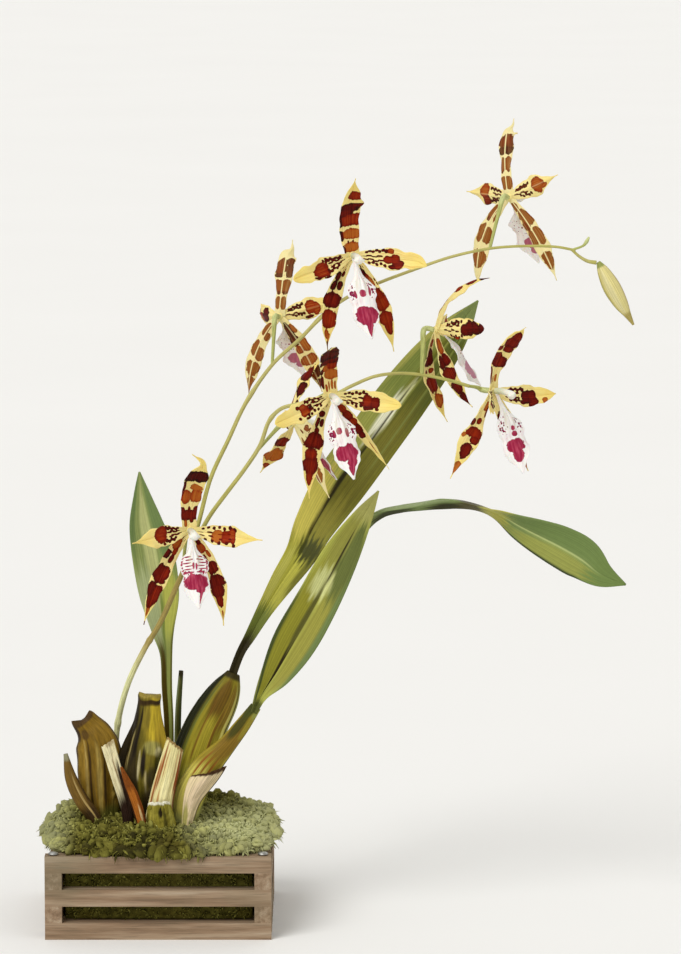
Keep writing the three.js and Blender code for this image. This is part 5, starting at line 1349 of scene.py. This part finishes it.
def mound_places(rings, draw, count, power):
    """Random places on the mound, more of them near the rim, and the way out of it at each."""
    upper = rings[len(MOSS_WALL) + 2:-2]
    normal = unit(np.cross(np.gradient(upper, axis=1), np.gradient(upper, axis=0)))
    weight = np.linalg.norm(upper[..., :2], axis=-1).reshape(-1) ** power
    pick = draw.choice(weight.size, count, p=weight / weight.sum())
    return upper.reshape(-1, 3)[pick], normal.reshape(-1, 3)[pick]


def moss_tufts(rings, count=6000, seed=8):
    """Short pointed leaflets all over the mound, longer and hanging down at the rim."""
    draw = np.random.default_rng(seed)
    base, outward = mound_places(rings, draw, count, 1.2)
    base = base + draw.normal(size=(count, 3)) * [0.6, 0.6, 0]
    edge = smooth(np.abs(base[:, :2]).max(axis=1), 52, 64)
    direction = outward + draw.normal(size=(count, 3)) * 0.5
    direction[:, 2] -= edge * 1.3
    length = draw.uniform(1.6, 3.8, count) * (1 + 0.7 * edge)
    radius = draw.uniform(0.45, 0.9, count)
    tone = draw.uniform(0.2, 0.8, count) + 0.25 * lumps(base, 16, 12) - 0.2 * moss_dark(base)
    return spikes(base, unit(direction), length, radius, tone, draw)


def moss_lobes(rings, count=900, seed=21):
    """Rounded leafy lumps, in darker clumps, which hang over the rim."""
    draw = np.random.default_rng(seed)
    base, outward = mound_places(rings, draw, count, 2.6)
    edge = smooth(np.abs(base[:, :2]).max(axis=1), 50, 64)
    direction = outward + draw.normal(size=(count, 3)) * 0.35
    direction[:, 2] -= edge * 1.2
    direction = unit(direction)
    right = unit(np.cross(direction, outward + draw.normal(size=(count, 3)) * 0.6))
    away = np.cross(direction, right)
    size = draw.uniform(1.6, 3.4, count) * (1 + 0.35 * edge)
    points = []
    for place, width in ((-0.7, 0.55), (0.1, 1.0), (0.8, 0.8)):
        for k in range(6):
            angle = k / 6 * 2 * math.pi
            spoke = right * math.cos(angle) + away * 0.45 * math.sin(angle)
            points.append(base + (direction * place + spoke * width) * size[:, None])
    points.append(base - direction * size[:, None])
    points.append(base + direction * size[:, None] * 1.15)
    points = np.stack(points, axis=1)
    start = np.arange(count)[:, None] * 20
    faces = []
    for k in range(6):
        after = (k + 1) % 6
        for ring in (0, 6):
            faces += (start + [ring + k, ring + after, ring + 6 + after, ring + 6 + k]).tolist()
        faces += (start + [after, k, 18]).tolist()
        faces += (start + [12 + k, 12 + after, 19]).tolist()
    clump = lumps(base, 22, 31)
    tone = draw.uniform(0.14, 0.54, count) + 0.3 * clump - 0.3 * moss_dark(base)
    shade = np.clip(tone[:, None] + np.array([-0.1] * 6 + [0.05] * 6 + [0.12] * 6 + [-0.1, 0.15]), 0, 1)
    flat = points.reshape(-1, 3)
    return Skin(flat, faces, {"tone": shade.reshape(-1), "sea": moss_sea(flat) * 0.7})


def moss_slots(count=2600, seed=9):
    """Leaflets of the wall of moss that show between the sticks, at two heights on each side."""
    draw = np.random.default_rng(seed)
    side = draw.integers(0, 4, count)
    low = np.where(side % 2 == 0, 9.5, 19.0) + 19 * draw.integers(0, 2, count)
    height = low + draw.uniform(0.8, 8.7, count)
    run = draw.uniform(-51, 51, count)
    quarter = side * math.pi / 2
    c, s = np.cos(quarter), np.sin(quarter)
    out = np.stack([s, -c, 0 * s], axis=-1)
    sideways = np.stack([c, s, 0 * s], axis=-1)
    base = out * 53.2 + sideways * run[:, None] + np.stack([0 * s, 0 * s, height], axis=-1)
    direction = unit(out + draw.normal(size=(count, 3)) * 0.55)
    # The leaflets between the sticks are drawn darker than those on the mound: painted shade inside the
    # basket.
    tone = draw.uniform(0.1, 0.6, count)
    return spikes(base, direction, draw.uniform(1.5, 3.4, count), draw.uniform(0.4, 0.9, count), tone, draw)


def sticks():
    looks = {True: wood_look("wood_left_right", True), False: wood_look("wood_front_back", False)}
    for name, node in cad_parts.items():
        if "stick" not in name:
            continue
        low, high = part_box(name)
        along_x = high.x - low.x > high.y - low.y
        node.data.materials.clear()
        node.data.materials.append(looks[along_x])
        bevel = node.modifiers.new("worn edges", "BEVEL")
        bevel.width, bevel.segments, bevel.limit_method = STICK_WEAR * MM, 2, "ANGLE"


def wires():
    look = wire_look()
    profile = [[1, 0.4], [1.2, WIRE_RADIUS], [47.7, WIRE_RADIUS], [47.8, WIRE_HEAD_RADIUS],
               [48.5, WIRE_HEAD_RADIUS], [49.1, 2.2], [49.4, 0.3]]
    heights, radii = np.array(profile).T
    for number, (x, y) in enumerate([(-1, -1), (-1, 1), (1, -1), (1, 1)], start=1):
        rows = len(heights)
        centres = np.stack([0 * heights + x * WIRE_PLACE, 0 * heights + y * WIRE_PLACE, heights], axis=-1)
        right, away = np.tile([1.0, 0, 0], (rows, 1)), np.tile([0, 1.0, 0], (rows, 1))
        reach = radii[:, None] * np.ones(24)
        skin = tube(centres, right, away, reach, reach, {"along": heights[:, None]})
        piece(f"corner_wire_{number}_fine", [skin], [look], f"corner_wire_{number}")


def basket():
    sticks()
    wires()
    moss(moss_look())


# Greens of the leaves, and the painted shade in the crease along a midrib.
YELLOW_GREEN = (172, 174, 80)
PALE_GREEN = (200, 202, 134)
OLIVE_GREEN = (134, 132, 48)
DARK_GREEN = (88, 94, 36)
MIDRIB_SHADE = (44, 36, 14)

# Paint of each bulb, leaf and sheath: its base colour and its strokes, some of them painted highlights and
# painted shade, noted at their rows. Across is 0 at the front of a bulb and -50 and 50 at its edges, and -100
# and 100 at the margins of a leaf or sheath.
PAINT = {
    "pseudobulb_oldest": [(116, 88, 36), [
        [10, 0, 30, 200, (62, 44, 20)], [50, -45, 50, 14, (64, 46, 20)], [45, 14, 35, 5, (176, 150, 92)],
        [50, 40, 40, 10, (84, 62, 28)], [14, 25, 5, 6, (190, 178, 150)],
        [100, 0, 7, 200, (146, 142, 110)]]],
    "pseudobulb_brown": [(122, 94, 26), [
        [50, -46, 55, 9, (70, 50, 16)], [62, -28, 24, 6, (140, 110, 38)], [45, -22, 40, 3, (166, 140, 74)],
        [40, -15, 45, 2.2, (56, 38, 12)], [40, 0, 35, 4, (158, 134, 66)], [38, 8, 32, 2.2, (58, 40, 14)],
        [33, 24, 30, 5, (148, 122, 52)], [68, 25, 26, 16, (138, 108, 36)], [55, 46, 40, 6, (84, 62, 22)],
        [92, -40, 12, 14, (58, 40, 18)], [87, -15, 6, 10, (90, 66, 24)], [100, 0, 3.5, 200, (78, 56, 24)],
        [50, 22, 3, 3, (48, 32, 12)], [43, 24, 2.5, 3.5, (48, 32, 12)], [36, 26, 2.5, 3.5, (48, 32, 12)],
        [6, 20, 16, 30, (104, 100, 40)]]],
    "pseudobulb_middle": [(110, 98, 28), [
        # The near-black strokes over the left half, at 45 and 36, are painted shade on the left side.
        [45, -40, 60, 28, (36, 28, 10)], [36, -20, 30, 12, (52, 42, 16)], [82, 22, 20, 26, (184, 160, 44)],
        [70, 34, 12, 20, (176, 150, 44)], [85, -5, 12, 10, (128, 112, 36)], [74, -16, 20, 3, (30, 22, 10)],
        [60, -24, 14, 2.2, (150, 136, 84)], [45, -30, 12, 2, (120, 104, 60)],
        # The grey-green ring and cream spot at 60 to 63, right of the front, are a painted highlight.
        [63, 12, 5, 16, (150, 142, 74)], [60, 20, 4, 7, (196, 188, 136)], [50, 26, 10, 14, (82, 80, 24)],
        [40, 16, 10, 14, (60, 52, 20)], [52, -2, 12, 3, (30, 22, 10)], [50, -8, 10, 1.8, (196, 184, 136)],
        [38, 2, 8, 1.8, (170, 156, 108)], [30, 10, 6, 2, (150, 138, 92)], [22, 20, 14, 30, (52, 42, 20)],
        [55, 47, 40, 5, (70, 52, 20)], [4, 0, 14, 200, (40, 26, 14)], [94.5, 0, 2, 200, (58, 42, 14)],
        [100, 0, 2, 200, (150, 132, 58)]]],
    "pseudobulb_leaning": [(146, 134, 38), [
        # The dark green-black band down the left side is painted shade.
        [50, -38, 70, 17, (34, 36, 12)], [50, -20, 45, 2.5, (110, 112, 44)], [78, 0, 18, 14, (110, 84, 26)],
        [74, 20, 18, 8, (128, 104, 34)], [45, 2, 20, 12, (176, 162, 52)], [52, 14, 22, 2.2, (124, 90, 30)],
        [56, -6, 20, 1.8, (118, 84, 28)], [16, 5, 20, 26, (172, 168, 70)], [62, 34, 36, 2.2, (38, 34, 12)],
        # The pale band along the right edge, at across 45, is a painted highlight.
        [62, 28, 34, 2, (186, 178, 96)], [66, 45, 36, 8, (162, 166, 96)], [100, 0, 5, 200, (62, 54, 22)]]],
    "young_shoot": [(150, 132, 40), [
        [10, 0, 22, 200, (172, 172, 100)], [34, -10, 17, 50, (206, 194, 92)],
        [52, -20, 10, 3, (146, 88, 30)], [56, -5, 12, 2.5, (140, 84, 30)], [52, 10, 10, 3, (150, 96, 34)],
        [50, 36, 16, 8, (186, 168, 66)], [70, 0, 14, 35, (132, 104, 34)], [84, -15, 14, 20, (76, 72, 24)],
        [62, 44, 40, 6, (96, 96, 34)], [84, 20, 10, 10, (150, 136, 46)], [97, -20, 8, 30, (70, 74, 26)],
        [97, 25, 6, 20, (150, 152, 72)]]],
    "bud": [(220, 208, 140), [
        [50, -46, 50, 10, (146, 104, 56)], [45, 10, 35, 12, (226, 216, 158)],
        [50, 40, 50, 12, (182, 172, 98)], [90, 0, 14, 200, (176, 160, 92)],
        [4, 0, 6, 200, (150, 156, 84)]]],
    "leaf_left": [(138, 150, 88), [
        [74, -10, 22, 30, (184, 188, 126)], [80, 70, 25, 40, (112, 132, 78)],
        [90, -90, 20, 25, (104, 124, 72)], [55, 55, 12, 50, YELLOW_GREEN],
        [55, -60, 12, 50, (174, 184, 134)], [52, 10, 10, 12, (112, 126, 58)],
        [20, 45, 28, 70, (150, 158, 84)], [20, -60, 26, 55, (88, 72, 20)], [22, 95, 30, 20, (98, 98, 36)]]],
    "leaf_stub": [(100, 100, 48), [
        [50, 70, 80, 45, (72, 78, 42)], [50, -80, 80, 30, (146, 156, 112)],
        [100, 0, 6, 200, (52, 46, 26)]]],
    "leaf_long": [OLIVE_GREEN, [
        [82, -60, 22, 45, (134, 146, 72)], [62, -62, 12, 50, (164, 168, 84)], [82, 50, 20, 55, DARK_GREEN],
        [62, 50, 14, 50, (112, 108, 36)], [82, 15, 14, 5, (138, 142, 68)], [80, 62, 18, 4, (126, 132, 62)],
        # The two pale strokes at 71 and 76 along the middle are a painted highlight.
        [71, -10, 5, 22, (255, 255, 226)], [76, 2, 3, 10, (214, 216, 160)], [97, 0, 7, 200, (128, 142, 84)],
        # The dark strokes along the middle at 53 and 66 are painted shade in the crease of the midrib.
        [86, -90, 10, 14, (176, 176, 92)], [53, -6, 12, 13, MIDRIB_SHADE], [66, -2, 12, 5, (58, 56, 26)],
        [52, -60, 9, 50, (214, 202, 96)], [50, 45, 7, 40, (136, 130, 48)], [32, 0, 13, 200, (186, 182, 74)],
        [30, -60, 12, 35, (200, 196, 96)], [38, 85, 8, 30, (124, 122, 48)], [43, 35, 3.5, 75, (74, 76, 32)],
        [20, 0, 6, 200, (122, 132, 58)], [6, 0, 12, 200, (52, 46, 24)]]],
    "leaf_front": [YELLOW_GREEN, [
        [40, -55, 30, 50, (146, 142, 46)], [42, 50, 26, 45, (150, 146, 62)],
        [50, 95, 30, 22, (106, 122, 68)], [72, 50, 14, 50, (98, 106, 50)],
        [80, -30, 14, 50, (148, 146, 66)], [62, -20, 5, 50, PALE_GREEN], [93, 0, 9, 200, (166, 164, 92)],
        # The dark strokes down the middle at 30, 50 and 72 are painted shade in the crease of the midrib.
        [30, -6, 32, 10, MIDRIB_SHADE], [50, -8, 12, 14, (92, 90, 38)], [72, 2, 10, 7, (56, 52, 22)],
        [30, -95, 30, 12, (70, 80, 36)], [3, 0, 8, 200, (88, 92, 42)]]],
    "leaf_arching": [(124, 142, 84), [
        # The pale stroke at 40, over the arch, is a painted highlight.
        [10, 0, 20, 200, (140, 144, 76)], [40, -40, 14, 70, (160, 176, 124)], [34, 80, 6, 50, (64, 68, 40)],
        [50, 80, 7, 50, (58, 58, 32)], [58, 0, 5, 200, (84, 78, 42)], [66, 0, 4.5, 200, (176, 172, 82)],
        [85, 62, 14, 50, (148, 152, 76)], [85, -55, 16, 50, (112, 132, 74)], [84, 98, 20, 10, (62, 72, 40)],
        [97, 0, 5, 200, (112, 132, 72)], [80, 6, 14, 5, (182, 192, 124)]]],
    "sheath_cream_narrow": [(232, 222, 178), [
        [10, 0, 40, 200, (44, 26, 16)], [50, 55, 30, 40, (50, 32, 20)], [70, 10, 20, 6, (150, 120, 78)],
        [60, -60, 12, 20, (226, 212, 166)], [99, 30, 3, 70, (178, 160, 118)]]],
    "sheath_orange": [(176, 104, 36), [
        [28, 35, 22, 20, (230, 196, 140)], [14, -10, 16, 14, (206, 160, 96)],
        [50, 80, 50, 20, (120, 62, 20)], [50, -85, 60, 22, (60, 30, 12)], [88, 0, 16, 200, (132, 72, 24)],
        [0, 0, 8, 200, (76, 38, 16)]]],
    "sheath_cream_broad": [(230, 218, 156), [
        [70, -62, 30, 9, (150, 84, 40)], [45, -80, 35, 10, (170, 108, 58)],
        [75, -35, 16, 5, (180, 124, 70)], [72, 80, 35, 9, (140, 72, 32)], [80, 55, 20, 5, (184, 132, 78)],
        [50, 95, 50, 7, (112, 66, 30)], [30, -30, 14, 6, (190, 140, 84)], [55, 30, 10, 5, (204, 160, 100)],
        [99, 0, 2, 200, (150, 120, 70)], [40, 10, 30, 30, (240, 230, 172)]]],
    "sheath_green_cut": [(140, 130, 46), [
        [50, -50, 60, 20, (162, 150, 60)], [40, 30, 50, 12, (86, 80, 26)], [74, 5, 14, 12, (40, 32, 14)],
        [50, 75, 50, 16, (152, 144, 62)], [99, 0, 6, 200, (236, 232, 208)], [30, -90, 50, 14, (80, 72, 26)],
        [0, 0, 10, 200, (80, 72, 30)]]],
    "sheath_grey": [(226, 206, 164), [
        [25, -50, 30, 45, (176, 168, 96)], [70, 10, 25, 60, (222, 200, 164)], [50, 97, 60, 7, (70, 48, 26)],
        [98.5, 0, 3, 200, (70, 46, 24)], [4, 0, 10, 200, (84, 70, 42)]]],
}


def bulbs():
    old = plant_look("old bulb", 6.0, 7.0, 0.0006, 0.3)
    green = plant_look("green bulb", 12.0, 2.4, 0.0005, 0.34)
    young = plant_look("young shoot", 14.0, 1.2, 0.0003, 0.3)
    looks = [(old, "old_bulb"), (old, "old_bulb"), (old, "green_bulb"), (green, "green_bulb"),
             (young, "green_bulb"), (young, "bud")]
    for seed, (name, (look, slot)) in enumerate(zip(BULBS, looks), start=2):
        piece(f"{name}_fine", [bulb(name, seed)], [look], name)


def leaves():
    green = plant_look("leaf", across=22.0, along=1.2, depth=0.00025, contrast=0.22, roughness=0.42)
    for seed, name in enumerate(LEAVES, start=2):
        leaf(name, green, seed)


def sheaths():
    papery = plant_look("dry sheath", 9.0, 1.2, 0.0005, 0.34, 0.75)
    for seed, name in enumerate(SHEATHS, start=11):
        sheath(name, papery, seed)


def plant():
    bulbs()
    leaves()
    sheaths()
    flower_stem(plant_look("stem", 3.0, 6.0, 0.0002, 0.3))
    tepal_material = tepal_look()
    lip_looks = [lip_look(), column_look()]
    for name, bloom in BLOOMS.items():
        tepals(name, bloom, tepal_material)
        lip(name, bloom, lip_looks)


def floor():
    look = Look("paper floor")
    shade = look.noise(look.place(), 3.0, 2.0)
    colour = look.mix(shade, (0.862, 0.856, 0.832), (0.885, 0.88, 0.856))
    material = look.finish(colour, 0.9)
    mesh = bpy.data.meshes.new("floor")
    count, reach = 96, 25
    ring = [(reach * math.cos(k / count * 2 * math.pi), reach * math.sin(k / count * 2 * math.pi), 0)
            for k in range(count)]
    mesh.from_pydata(ring, [], [list(range(count))])
    mesh.materials.append(material)
    made = bpy.data.objects.new("floor", mesh)
    bpy.context.scene.collection.objects.link(made)


# Each lamp's strength, angle across, and the way that its light comes from.
LAMPS = {
    "key": (1.8, 34, (-1.0, -1.4, 1.7)),
    "fill": (0.22, 60, (1.4, -1.0, 0.8)),
    "back": (0.3, 60, (0.4, 1.5, 1.4)),
}
WORLD_COLOUR = (1.0, 0.985, 0.96, 1)
WORLD_STRENGTH = 0.55


def light():
    world = bpy.data.worlds.new("studio")
    bpy.context.scene.world = world
    world.use_nodes = True
    inputs = world.node_tree.nodes["Background"].inputs
    inputs["Color"].default_value = WORLD_COLOUR
    inputs["Strength"].default_value = WORLD_STRENGTH
    for name, (strength, angle, place) in LAMPS.items():
        lamp = bpy.data.lights.new(name, "SUN")
        lamp.energy, lamp.angle = strength, math.radians(angle)
        made = bpy.data.objects.new(name, lamp)
        made.rotation_euler = Vector(place).to_track_quat("Z", "Y").to_euler()
        bpy.context.scene.collection.objects.link(made)


def camera():
    data = bpy.data.cameras.new("camera")
    data.lens, data.sensor_width = CAMERA_LENS, CAMERA_SENSOR
    made = bpy.data.objects.new("camera", data)
    raised = math.radians(CAMERA_ELEVATION)
    back = Vector((0, -math.cos(raised), math.sin(raised)))
    made.location = Vector(CAMERA_TARGET) + back * CAMERA_DISTANCE
    made.rotation_euler = back.to_track_quat("Z", "Y").to_euler()
    bpy.context.scene.collection.objects.link(made)
    bpy.context.scene.camera = made
    bpy.context.scene.view_settings.view_transform = "Standard"


basket()
plant()
floor()
light()
camera()
